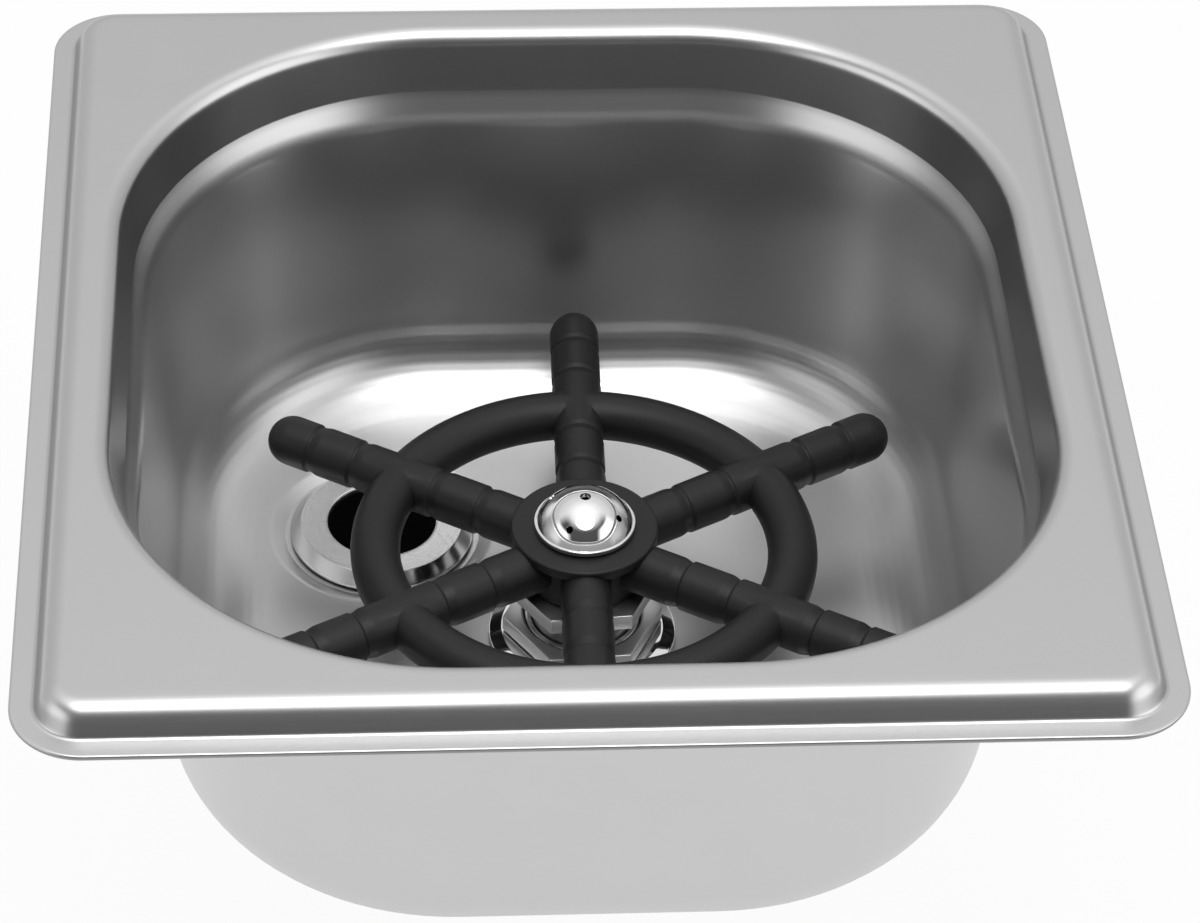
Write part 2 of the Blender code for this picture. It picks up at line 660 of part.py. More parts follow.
def make_plunger(axis):
    """Spigot, hexagon, sliding shaft with its grooves, stem, waterway and cross hole."""
    shoulder = UPPER_HEX_FOOT + UPPER_HEX_HEIGHT / 2
    profile = [
        (0, SPIGOT_TOP),
        (SPIGOT_RADIUS, SPIGOT_TOP),
        (SPIGOT_RADIUS, shoulder),
        (SHAFT_RADIUS, shoulder),
        *groove(O_RING_UPPER),
        *groove(O_RING_LOWER),
        (SHAFT_RADIUS, SHAFT_FOOT),
        (STEM_RADIUS, SHAFT_FOOT),
        (STEM_RADIUS, STEM_STEP),
        (STEM_TIP_RADIUS, STEM_STEP),
        (STEM_TIP_RADIUS, STEM_FOOT),
        (0, STEM_FOOT),
    ]
    plunger = place(turned("plunger", profile), CHROME, axis)
    flats = hexagon("upper_hex", HEX_ACROSS_FLATS, UPPER_HEX_FOOT, UPPER_HEX_TOP, HEX_TURN_DEG)
    boolean(plunger, helper(flats, axis), "UNION")
    socket_foot = SPIGOT_TOP - SOCKET_DEPTH
    waterway = [
        (0, SPIGOT_TOP + OVERRUN),
        (SOCKET_RADIUS, SPIGOT_TOP + OVERRUN),
        (SOCKET_RADIUS, socket_foot),
        (WATERWAY_RADIUS, socket_foot),
        (WATERWAY_RADIUS, WATERWAY_FOOT),
        (0, WATERWAY_FOOT),
    ]
    boolean(plunger, helper(turned("waterway", waterway, SMALL_TURN_STEPS), axis), "DIFFERENCE")
    reach = STEM_RADIUS + OVERRUN
    cross = helper(cylinder("cross_hole", CROSS_HOLE_RADIUS, -reach, reach, ARM_STEPS), axis)
    cross.location = (0, 0, CROSS_HOLE_HEIGHT)
    cross.rotation_euler = (math.pi / 2, 0, 0)
    boolean(plunger, cross, "DIFFERENCE")
    hole_top = SCREW_SEAT + SCREW_SHANK_LENGTH + CONTACT_GAP
    tapped = cylinder("tapped_hole", SHANK_HOLE_RADIUS, STEM_FOOT - OVERRUN, hole_top)
    return boolean(plunger, helper(tapped, axis), "DIFFERENCE")


def make_o_ring(name, height, axis):
    """A rubber ring that fills its groove to just short of the bore."""
    center = O_RING_GROOVE_RADIUS + (GUIDE_BORE_RADIUS - O_RING_GROOVE_RADIUS) / 2 - RUNNING_GAP
    profile = arc((center, height), O_RING_SECTION, 90, -270, O_RING_SECTION_STEPS)[:-1]
    return place(turned(name, profile, SMALL_TURN_STEPS, closed=True), RUBBER, axis)


def make_valve_disc(axis):
    """Rubber disc, its backing washer and the slotted screw that holds them to the stem."""
    inner = SHANK_HOLE_RADIUS
    disc = collar("valve_disc", inner, DISC_RADIUS, DISC_TOP - DISC_THICKNESS, DISC_TOP)
    place(disc, RUBBER, axis)
    foot = DISC_WASHER_TOP - DISC_WASHER_THICKNESS
    washer = collar("disc_washer", inner, DISC_WASHER_RADIUS, foot, DISC_WASHER_TOP)
    place(washer, BRASS, axis)
    head_foot = SCREW_SEAT - SCREW_HEAD_HEIGHT
    profile = [
        (0, SCREW_SEAT + SCREW_SHANK_LENGTH),
        (SCREW_SHANK_RADIUS, SCREW_SEAT + SCREW_SHANK_LENGTH),
        (SCREW_SHANK_RADIUS, SCREW_SEAT),
        (SCREW_HEAD_RADIUS, SCREW_SEAT),
        (SCREW_HEAD_RADIUS, head_foot),
        (0, head_foot),
    ]
    screw = place(turned("disc_screw", profile, SMALL_TURN_STEPS), TURNED_STEEL, axis)
    slot = box_cutter(
        "screw_slot",
        (2 * SCREW_HEAD_RADIUS + OVERRUN, SCREW_SLOT_WIDTH, 2 * SCREW_SLOT_DEPTH),
        (0, 0, head_foot),
        axis,
    )
    return boolean(screw, slot, "DIFFERENCE")


def box_cutter(name, size, center, parent):
    """A box-shaped cutter."""
    shape = bmesh.new()
    bmesh.ops.create_cube(shape, size=1)
    bmesh.ops.scale(shape, verts=shape.verts, vec=size)
    mesh = bpy.data.meshes.new(name)
    shape.to_mesh(mesh)
    shape.free()
    cutter = helper(bpy.data.objects.new(name, mesh), parent)
    cutter.location = center
    return cutter


def arm_grooves():
    """Where the grooves lie along an arm: shares of its free length inside and outside the ring."""
    inner_span = RING_RADIUS - RING_SECTION_RADIUS - HUB_RADIUS
    outer_foot = RING_RADIUS + RING_SECTION_RADIUS
    grooves = [HUB_RADIUS + inner_span * share for share in INNER_GROOVE_SHARES]
    return grooves + [outer_foot + (ARM_LENGTH - outer_foot) * share for share in OUTER_GROOVE_SHARES]


def arm_profile():
    """Tip, grooves and root of one arm, down its outer side from the tip."""
    profile = arc((0, ARM_LENGTH), ARM_RADIUS, 90, 0, TIP_STEPS)
    profile[0] = (0, ARM_LENGTH + ARM_RADIUS)
    for along in reversed(arm_grooves()):
        profile += [
            (ARM_RADIUS, along + ARM_GROOVE_WIDTH / 2),
            (ARM_RADIUS - ARM_GROOVE_DEPTH, along),
            (ARM_RADIUS, along - ARM_GROOVE_WIDTH / 2),
        ]
    return profile + [(ARM_RADIUS, ARM_ROOT), (0, ARM_ROOT)]


def make_press_wheel(axis):
    """Hub with its disc, a ring and six grooved arms in one moulding."""
    pocket_foot = HUB_TOP - NOZZLE_GASKET_THICKNESS - CONTACT_GAP
    pocket_radius = facet_reach(NOZZLE_GASKET_RADIUS, TURN_STEPS) + CONTACT_GAP
    disc_foot = HUB_TOP - HUB_DISC_THICKNESS
    profile = [
        (HUB_DISC_RADIUS - HUB_EDGE, HUB_TOP),
        (HUB_DISC_RADIUS, HUB_TOP - HUB_EDGE),
        (HUB_DISC_RADIUS, disc_foot),
        (HUB_RADIUS, disc_foot),
        (HUB_RADIUS, HUB_FOOT),
        (SPIGOT_BORE_RADIUS, HUB_FOOT),
        (SPIGOT_BORE_RADIUS, pocket_foot),
        (pocket_radius, pocket_foot),
        (pocket_radius, HUB_TOP),
    ]
    wheel = place(turned("press_wheel", profile, RIM_TURN_STEPS, closed=True), BLACK_PLASTIC, axis)
    section = arc((RING_RADIUS, WHEEL_PLANE), RING_SECTION_RADIUS, 90, -270, RING_SECTION_STEPS)
    ring = turned("wheel_ring", section[:-1], RING_STEPS, closed=True)
    boolean(wheel, helper(ring, axis), "UNION")
    for i in range(ARM_COUNT):
        arm = helper(turned(f"arm_{i + 1}", arm_profile(), ARM_STEPS), axis)
        arm.location = (0, 0, WHEEL_PLANE)
        heading = math.pi / 2 + 2 * math.pi * i / ARM_COUNT
        arm.rotation_euler = (0, math.pi / 2, heading + math.radians(WHEEL_TURN_DEG))
        boolean(wheel, arm, "UNION")
    return wheel


def dome_profile(radius, height, foot):
    """Side of a shallow part of a ball, from the hole at its top to its base: (radius, height)."""
    ball = (radius ** 2 + height ** 2) / (2 * height)
    spread = math.asin(radius / ball)
    points = []
    for i in range(DOME_STEPS + 1):
        angle = spread * i / DOME_STEPS
        drop = ball * (1 - math.cos(angle))
        points.append((max(APEX_HOLE_RADIUS, ball * math.sin(angle)), foot + height - drop))
    return points


def make_nozzle(axis):
    """The chromed dome with its skirt, rim and spray holes, and the flat seal under it."""
    gasket_foot = HUB_TOP - NOZZLE_GASKET_THICKNESS
    skirt_hole = facet_reach(CAP_SKIRT_RADIUS, TURN_STEPS) + CONTACT_GAP
    seal = collar("nozzle_gasket", skirt_hole, NOZZLE_GASKET_RADIUS, gasket_foot, HUB_TOP)
    place(seal, RUBBER, axis)
    rim_foot = HUB_TOP + CONTACT_GAP
    rim_top = rim_foot + CAP_RIM_THICKNESS
    inner_radius = CAP_DOME_RADIUS - CAP_WALL
    inner = dome_profile(inner_radius, CAP_DOME_HEIGHT - CAP_WALL, rim_top)
    profile = [
        *dome_profile(CAP_DOME_RADIUS, CAP_DOME_HEIGHT, rim_top),
        (CAP_RIM_RADIUS - CAP_RIM_EDGE, rim_top),
        (CAP_RIM_RADIUS, rim_top - CAP_RIM_EDGE),
        (CAP_RIM_RADIUS, rim_foot),
        (CAP_SKIRT_RADIUS, rim_foot),
        (CAP_SKIRT_RADIUS, rim_foot - CAP_SKIRT_LENGTH),
        (CAP_BORE_RADIUS, rim_foot - CAP_SKIRT_LENGTH),
        (CAP_BORE_RADIUS, rim_top),
        *reversed(inner),
    ]
    cap = place(turned("nozzle_cap", profile, TURN_STEPS, closed=True), CHROME, axis)
    for i in range(SPRAY_HOLE_COUNT):
        name = f"spray_hole_{i + 1}"
        drill = cylinder(name, SPRAY_HOLE_RADIUS, inner_radius / 2, CAP_RIM_RADIUS, SMALL_HOLE_STEPS)
        drill = helper(drill, axis)
        drill.location = (0, 0, rim_top)
        turn = math.radians(SPRAY_HOLE_TURN_DEG) + 2 * math.pi * i / SPRAY_HOLE_COUNT
        drill.rotation_euler = (0, math.radians(SPRAY_HOLE_LEAN_DEG), turn)
        boolean(cap, drill, "DIFFERENCE")
    return cap


def make_drain(axis):
    """Flange with a chamfered rim, straight bore and threaded tail, and what clamps it."""
    flange_foot = -RECESS_DEPTH + 2 * CONTACT_GAP + DRAIN_GASKET_THICKNESS
    flange_top = flange_foot + DRAIN_FLANGE_THICKNESS
    crest, foot = DRAIN_TAIL_RADIUS, -DRAIN_TAIL_LENGTH
    profile = [
        (DRAIN_FLAT_RADIUS, flange_top),
        (DRAIN_FLANGE_RADIUS, flange_top - DRAIN_CHAMFER_DROP),
        (DRAIN_FLANGE_RADIUS, flange_foot),
        (crest, flange_foot),
        (crest, -DRAIN_THREAD_START),
        *thread_profile(crest, -DRAIN_THREAD_START, foot),
        (crest - THREAD_DEPTH, foot + TAIL_CHAMFER / 2),
        (crest - THREAD_DEPTH, foot),
        (DRAIN_BORE_RADIUS, foot),
        (DRAIN_BORE_RADIUS, flange_top - DRAIN_BORE_EDGE),
        (DRAIN_BORE_RADIUS + DRAIN_BORE_EDGE, flange_top),
    ]
    place(turned("drain_body", profile, TURN_STEPS, closed=True), TURNED_STEEL, axis)
    inner = DRAIN_NUT_BORE_RADIUS
    gasket_foot = -RECESS_DEPTH + CONTACT_GAP
    gasket_top = gasket_foot + DRAIN_GASKET_THICKNESS
    gasket = collar("drain_gasket", inner, DRAIN_GASKET_RADIUS, gasket_foot, gasket_top)
    place(gasket, RUBBER, axis)
    top = -RECESS_DEPTH - SHEET - CONTACT_GAP
    foot = top - DRAIN_UNDER_GASKET_THICKNESS
    under = collar("drain_under_gasket", inner, DRAIN_UNDER_GASKET_RADIUS, foot, top)
    place(under, RUBBER, axis)
    top = foot - CONTACT_GAP
    foot = top - DRAIN_BACKING_THICKNESS
    backing = collar("drain_backing_washer", inner, DRAIN_BACKING_RADIUS, foot, top)
    place(backing, ZINC, axis)
    top = foot - CONTACT_GAP
    make_locknut("drain_locknut", DRAIN_NUT_ACROSS_FLATS, top, DRAIN_NUT_HEIGHT, inner,
                 DRAIN_NUT_TURN_DEG, axis)


def build():
    """Make every piece."""
    valve_axis = new_axis("valve_axis", VALVE_X, VALVE_Y)
    plate_axis = new_axis("spring_plate_axis", VALVE_X, VALVE_Y)
    head_axis = new_axis("press_head_axis", VALVE_X, VALVE_Y)
    drain_axis = new_axis("drain_axis", DRAIN_X, DRAIN_Y)
    make_basin(valve_axis, drain_axis)
    make_valve_body(valve_axis)
    make_valve_fittings(valve_axis)
    make_valve_inner(valve_axis)
    make_return_spring(valve_axis)
    make_thrust_washer(plate_axis)
    make_plunger(head_axis)
    make_o_ring("plunger_o_ring_upper", O_RING_UPPER, head_axis)
    make_o_ring("plunger_o_ring_lower", O_RING_LOWER, head_axis)
    make_valve_disc(head_axis)
    make_press_wheel(head_axis)
    make_nozzle(head_axis)
    make_drain(drain_axis)


build()
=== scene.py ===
"""Looks of the built-in glass rinser: finely shaped pieces, their finishes, the camera and the studio.

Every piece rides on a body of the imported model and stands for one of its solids. Sizes are in
millimetres until a mesh is made. Pieces of the valve and of the drain are shaped by their height above
the basin's floor, on an axis that stands in the floor; the basin is shaped in the frame of the part.
"""

import json
import logging
import math
from dataclasses import dataclass, replace
from enum import Enum
from typing import Callable, Sequence, Union

import bmesh
import bpy
from mathutils import Matrix, Vector

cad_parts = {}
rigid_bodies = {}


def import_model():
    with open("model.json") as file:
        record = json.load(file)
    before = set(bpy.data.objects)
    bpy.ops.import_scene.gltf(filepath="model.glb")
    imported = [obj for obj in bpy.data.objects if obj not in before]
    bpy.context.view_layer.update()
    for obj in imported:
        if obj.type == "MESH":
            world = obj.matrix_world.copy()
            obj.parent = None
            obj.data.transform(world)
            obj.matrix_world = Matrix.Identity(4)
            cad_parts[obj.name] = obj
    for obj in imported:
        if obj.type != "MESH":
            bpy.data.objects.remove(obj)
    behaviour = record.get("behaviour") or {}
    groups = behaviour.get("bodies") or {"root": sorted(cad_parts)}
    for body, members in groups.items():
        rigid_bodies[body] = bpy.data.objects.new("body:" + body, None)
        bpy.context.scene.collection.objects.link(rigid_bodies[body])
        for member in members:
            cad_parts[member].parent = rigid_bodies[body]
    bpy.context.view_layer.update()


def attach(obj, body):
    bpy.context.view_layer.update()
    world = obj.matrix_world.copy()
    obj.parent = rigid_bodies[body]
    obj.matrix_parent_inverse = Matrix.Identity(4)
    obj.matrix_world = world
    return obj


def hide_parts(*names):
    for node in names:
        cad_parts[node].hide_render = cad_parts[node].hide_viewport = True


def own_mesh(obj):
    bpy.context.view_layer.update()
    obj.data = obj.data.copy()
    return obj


LOG = logging.getLogger("glass_rinser")

MM = 0.001  # one millimetre in metres
FLOOR = -59.2  # height of the basin's floor
SHARP_DEG = 38.0  # an edge that bends more than this stays crisp
WELD = 1e-5  # points of a mesh that lie closer than this are one
WHITE = (1.0, 1.0, 1.0, 1.0)

# Radii of the rounds that repeat on small edges.
CRISP, NEAT, EASED, SOFT = 0.1, 0.15, 0.2, 0.3
# Steps round a drill, and round turned pieces by how large they show.
DRILL_STEPS, PLAIN_STEPS, FINE_STEPS, FINEST_STEPS = 24, 72, 96, 120

Point2 = tuple[float, float]
Point3 = tuple[float, float, float]
Section = list[Point2]
Ring = list[Point3]
Corner = tuple[float, float, float]
Loop = list[bmesh.types.BMVert]
Piece = bpy.types.Object


# ---------------------------------------------------------------- shapes


class Cut(Enum):
    """What one solid does to another."""

    JOIN = "UNION"
    REMOVE = "DIFFERENCE"
    KEEP = "INTERSECT"


def spread(start: Point2, end: Point2, guard: float) -> Section:
    """Two points just inside the ends of a long straight, so that its shading stays flat.

    Args:
        start: Where the straight begins.
        end: Where it ends.
        guard: How far inside the ends the points lie.

    Returns:
        The two points, or none on a short straight.
    """
    length = math.dist(start, end)
    if length < 3 * guard:
        return []
    share = guard / length
    near = (start[0] + (end[0] - start[0]) * share, start[1] + (end[1] - start[1]) * share)
    far = (end[0] + (start[0] - end[0]) * share, end[1] + (start[1] - end[1]) * share)
    return [near, far]


def rounded(corners: Sequence[Corner], steps: int, closed: bool = True, guard: float = 0.25) -> Section:
    """A section with rounded corners.

    Args:
        corners: Each corner's two places and its radius.
        steps: Steps in each round.
        closed: Whether the last corner joins the first.
        guard: How far inside a straight's ends its two extra points lie.

    Returns:
        The points of the section, in order.
    """
    count = len(corners)
    groups: list[Section] = []
    for i, (x, y, radius) in enumerate(corners):
        here = Vector((x, y))
        if radius <= 0 or (not closed and i in (0, count - 1)):
            groups.append([(x, y)])
            continue
        before = (Vector(corners[i - 1][:2]) - here).normalized()
        after = (Vector(corners[(i + 1) % count][:2]) - here).normalized()
        half = before.angle(after) / 2
        reach = radius / math.tan(half)
        center = here + (before + after).normalized() * (radius / math.sin(half))
        first, last = here + before * reach - center, here + after * reach - center
        sweep = first.angle_signed(last)
        group = []
        for k in range(steps + 1):
            spoke = first.copy()
            spoke.rotate(Matrix.Rotation(-sweep * k / steps, 2))
            group.append((center.x + spoke.x, center.y + spoke.y))
        groups.append(group)
    section: Section = []
    for i, group in enumerate(groups):
        section += group
        if closed or i < count - 1:
            section += spread(group[-1], groups[(i + 1) % count][0], guard)
    return section


def arc(center: Point2, radius: float, start_deg: float, end_deg: float, steps: int) -> Section:
    """Points of an arc in a section.

    Args:
        center: The arc's centre.
        radius: Its radius.
        start_deg: Where it begins, counted from the first place's direction to the second's.
        end_deg: Where it ends.
        steps: How many steps it has.

    Returns:
        The arc's points.
    """
    angles = [math.radians(start_deg + (end_deg - start_deg) * i / steps) for i in range(steps + 1)]
    return [(center[0] + radius * math.cos(a), center[1] + radius * math.sin(a)) for a in angles]


def circle(radius: float, height: float, steps: int, center: Point2 = (0.0, 0.0)) -> Ring:
    """Points of a level circle.

    Args:
        radius: The circle's radius.
        height: Its height.
        steps: How many points it has.
        center: Its centre in plan.

    Returns:
        The circle's points.
    """
    x, y = center
    angles = [2 * math.pi * i / steps for i in range(steps)]
    return [(x + radius * math.cos(a), y + radius * math.sin(a), height) for a in angles]


class Shell:
    """A mesh in the making, in millimetres."""

    def __init__(self) -> None:
        """Start with no points."""
        self.shape = bmesh.new()

    def ring(self, points: Sequence[Point3]) -> Loop:
        """Add the points of a ring and return its corners."""
        return [self.shape.verts.new(point) for point in points]

    def skin(self, rings: Sequence[Loop]) -> None:
        """Join each ring to the next with a band of faces.

        Args:
            rings: Rings of the same count, in order.
        """
        for first, second in zip(rings, rings[1:]):
            for i, corner in enumerate(first):
                j = (i + 1) % len(first)
                self.shape.faces.new((corner, first[j], second[j], second[i]))

    def lid(self, ring: Loop) -> None:
        """Close a ring with one face."""
        self.shape.faces.new(ring)

    def fan(self, ring: Loop, tip: Point3) -> None:
        """Close a ring with triangles that meet in a point.

        Args:
            ring: The ring.
            tip: The point.
        """
        top = self.shape.verts.new(tip)
        for i, corner in enumerate(ring):
            self.shape.faces.new((corner, ring[(i + 1) % len(ring)], top))

    def flat(self, *loops: Loop) -> None:
        """Fill a level face.

        Args:
            loops: Its outline, then each of its holes.
        """
        edges = []
        for loop in loops:
            for i, corner in enumerate(loop):
                other = loop[(i + 1) % len(loop)]
                edge = self.shape.edges.get((corner, other))
                edges.append(edge if edge else self.shape.edges.new((corner, other)))
        bmesh.ops.triangle_fill(self.shape, use_beauty=True, use_dissolve=False, edges=edges)

    def object(self, name: str, sharp_deg: float = SHARP_DEG) -> Piece:
        """Close the mesh and put it in the scene.

        Args:
            name: The piece's name.
            sharp_deg: An edge that bends more than this stays crisp.

        Returns:
            The piece, in metres.
        """
        bmesh.ops.remove_doubles(self.shape, verts=self.shape.verts, dist=WELD)
        bmesh.ops.recalc_face_normals(self.shape, faces=self.shape.faces)
        bmesh.ops.scale(self.shape, vec=(MM, MM, MM), verts=self.shape.verts)
        mesh = bpy.data.meshes.new(name)
        self.shape.to_mesh(mesh)
        self.shape.free()
        item = bpy.data.objects.new(name, mesh)
        bpy.context.scene.collection.objects.link(item)
        smooth(item, sharp_deg)
        return item


def smooth(item: Piece, sharp_deg: float) -> None:
    """Shade a piece smooth, with crisp edges where it bends more than sharp_deg."""
    item.data.shade_smooth()
    item.data.set_sharp_from_angle(angle=math.radians(sharp_deg))


def turned(name: str, section: Section, steps: int = PLAIN_STEPS, closed: bool = True) -> Piece:
    """A piece turned on a lathe.

    Args:
        name: The piece's name.
        section: Its (radius, height) points.
        steps: Steps round the axis.
        closed: Whether the section is a loop clear of the axis. If not, its ends lie on the axis.

    Returns:
        The piece.
    """
    shell = Shell()
    inner = section if closed else section[1:-1]
    rings = [shell.ring(circle(radius, height, steps)) for radius, height in inner]
    shell.skin(rings + rings[:1] if closed else rings)
    if not closed:
        shell.fan(rings[0], (0, 0, section[0][1]))
        shell.fan(rings[-1], (0, 0, section[-1][1]))
    return shell.object(name)


def bar(name: str, radius: float, foot: float, top: float, steps: int = DRILL_STEPS) -> Piece:
    """A plain round tool that cuts a hole."""
    return turned(name, [(0, top), (radius, top), (radius, foot), (0, foot)], steps, closed=False)


def lofted(name: str, rings: Sequence[Ring]) -> Piece:
    """A closed piece through rings, with flat ends.

    Args:
        name: The piece's name.
        rings: Rings of the same count, in order.

    Returns:
        The piece.
    """
    shell = Shell()
    made = [shell.ring(ring) for ring in rings]
    shell.skin(made)
    shell.lid(made[0])
    shell.lid(made[-1])
    return shell.object(name)


def hexagon(name: str, across: float, foot: float, top: float, turn_deg: float, edge: float) -> Piece:
    """A six-sided bar with softened edges.

    Args:
        name: The piece's name.
        across: Width across its flats.
        foot: Height of its underside.
        top: Height of its upper face.
        turn_deg: Its turn from having one flat towards the front.
        edge: Radius of its edges.

    Returns:
        The bar.
    """
    half_side = math.pi / 6
    turns = [math.radians(turn_deg + 60 * i) + half_side for i in range(6)]
    levels = [(edge - x, top - edge + y) for x, y in arc((0, 0), edge, 90, 0, 3)]
    levels += [(inset, top + foot - height) for inset, height in reversed(levels)]
    rings = []
    for inset, height in levels:
        reach = (across / 2 - inset) / math.cos(half_side)
        plan = [(reach * math.sin(t), -reach * math.cos(t), edge) for t in turns]
        rings.append([(x, y, height) for x, y in rounded(plan, 3)])
    return lofted(name, rings)


def carve(target: Piece, tool: Piece, cut: Cut) -> Piece:
    """Join, cut or trim a piece with another, which is used up.

    Args:
        target: The piece that changes.
        tool: The piece that changes it.
        cut: What the tool does.

    Returns:
        The changed piece.
    """
    step = target.modifiers.new("carve", "BOOLEAN")
    step.operation = cut.value
    step.object = tool
    step.solver = "EXACT"
    bpy.context.view_layer.update()
    graph = bpy.context.evaluated_depsgraph_get()
    mesh = bpy.data.meshes.new_from_object(target.evaluated_get(graph))
    target.modifiers.clear()
    target.data = mesh
    bpy.data.objects.remove(tool, do_unlink=True)
    smooth(target, SHARP_DEG)
    return target


@dataclass(frozen=True)
class FlatRing:
    """A flat ring with softened edges, such as a washer or a gasket."""

    inner: float
    outer: float
    foot: float
    top: float
    edge: float

    def piece(self, name: str) -> Piece:
        """The ring.

        Args:
            name: The piece's name.

        Returns:
            The piece.
        """
        corners = [(self.outer, self.top, self.edge), (self.outer, self.foot, self.edge),
                   (self.inner, self.foot, self.edge), (self.inner, self.top, self.edge)]
        return turned(name, rounded(corners, 3))


@dataclass(frozen=True)
class Thread:
    """A pipe thread cut on a tail, with its side as (share of the pitch, share of the depth) pairs."""

    crest: float
    depth: float = 1.16
    pitch: float = 1.814
    steps: int = 48
    phases: tuple[Point2, ...] = ((0.0, 1.0), (0.14, 1.0), (0.42, 0.0), (0.6, 0.0), (0.88, 1.0))
    weld: float = 1e-4
    sharp_deg: float = 25.0

    def solid(self, name: str, top: float, foot: float) -> Piece:
        """The threaded bar between two heights.

        Args:
            name: The piece's name.
            top: Height where the thread starts.
            foot: Height of the tail's end.

        Returns:
            The bar, closed at both ends.
        """
        shell = Shell()
        rows = len(self.phases)
        turns = int((top - foot) / self.pitch) + 3
        columns = []
        for i in range(self.steps):
            angle = 2 * math.pi * i / self.steps
            column = []
            for k in range(turns * rows):
                phase, sunk = self.phases[k % rows]
                height = top + self.pitch * (1 - k // rows - phase - i / self.steps)
                radius = self.crest - self.depth * sunk
                if height >= top or height <= foot:
                    height, radius = min(max(height, foot), top), self.crest - self.depth
                column.append((radius * math.cos(angle), radius * math.sin(angle), height))
            columns.append(shell.ring(column))
        for i, column in enumerate(columns):
            last = i == self.steps - 1
            following = columns[0][rows:] if last else columns[i + 1]
            for k in range(len(following) - 1):
                shell.shape.faces.new((column[k], column[k + 1], following[k + 1], following[k]))
        bmesh.ops.remove_doubles(shell.shape, verts=shell.shape.verts, dist=self.weld)
        for level in (top, foot):
            edge = [v for v in shell.shape.verts if abs(v.co.z - level) < self.weld]
            edge.sort(key=lambda v: math.atan2(v.co.y, v.co.x))
            shell.lid(edge)
        return shell.object(name, self.sharp_deg)


# ---------------------------------------------------------------- shader nodes

Operand = Union["Value", float]


class Value:
    """One socket of a material's nodes, which takes part in Python sums."""

    def __init__(self, tree: "Nodes", socket: bpy.types.NodeSocket) -> None:
        """Wrap a socket of a tree."""
        self.tree = tree
        self.socket = socket

    def maths(self, operation: str, *operands: Operand) -> "Value":
        """A Math node on the operands."""
        return self.tree.value("ShaderNodeMath", {"operation": operation}, dict(enumerate(operands)))

    def __add__(self, other: Operand) -> "Value":
        """The sum."""
        return self.maths("ADD", self, other)

    def __radd__(self, other: Operand) -> "Value":
        """The sum, with the number first."""
        return self.maths("ADD", other, self)

    def __sub__(self, other: Operand) -> "Value":
        """The difference."""
        return self.maths("SUBTRACT", self, other)

    def __rsub__(self, other: Operand) -> "Value":
        """The difference, with the number first."""
        return self.maths("SUBTRACT", other, self)

    def __mul__(self, other: Operand) -> "Value":
        """The product."""
        return self.maths("MULTIPLY", self, other)

    def __rmul__(self, other: Operand) -> "Value":
        """The product, with the number first."""
        return self.maths("MULTIPLY", other, self)

    def band(self, low: float, high: float) -> "Value":
        """A smooth step from 0 at low to 1 at high."""
        settings = {"interpolation_type": "SMOOTHSTEP"}
        return self.tree.value("ShaderNodeMapRange", settings, {0: self, 1: low, 2: high, 3: 0.0, 4: 1.0})

    def at_least(self, low: float) -> "Value":
        """The value, or low where it is less."""
        return self.maths("MAXIMUM", self, low)

    def root(self) -> "Value":
        """The square root."""
        return self.maths("SQRT", self)

    def unsigned(self) -> "Value":
        """The value without its sign."""
        return self.maths("ABSOLUTE", self)


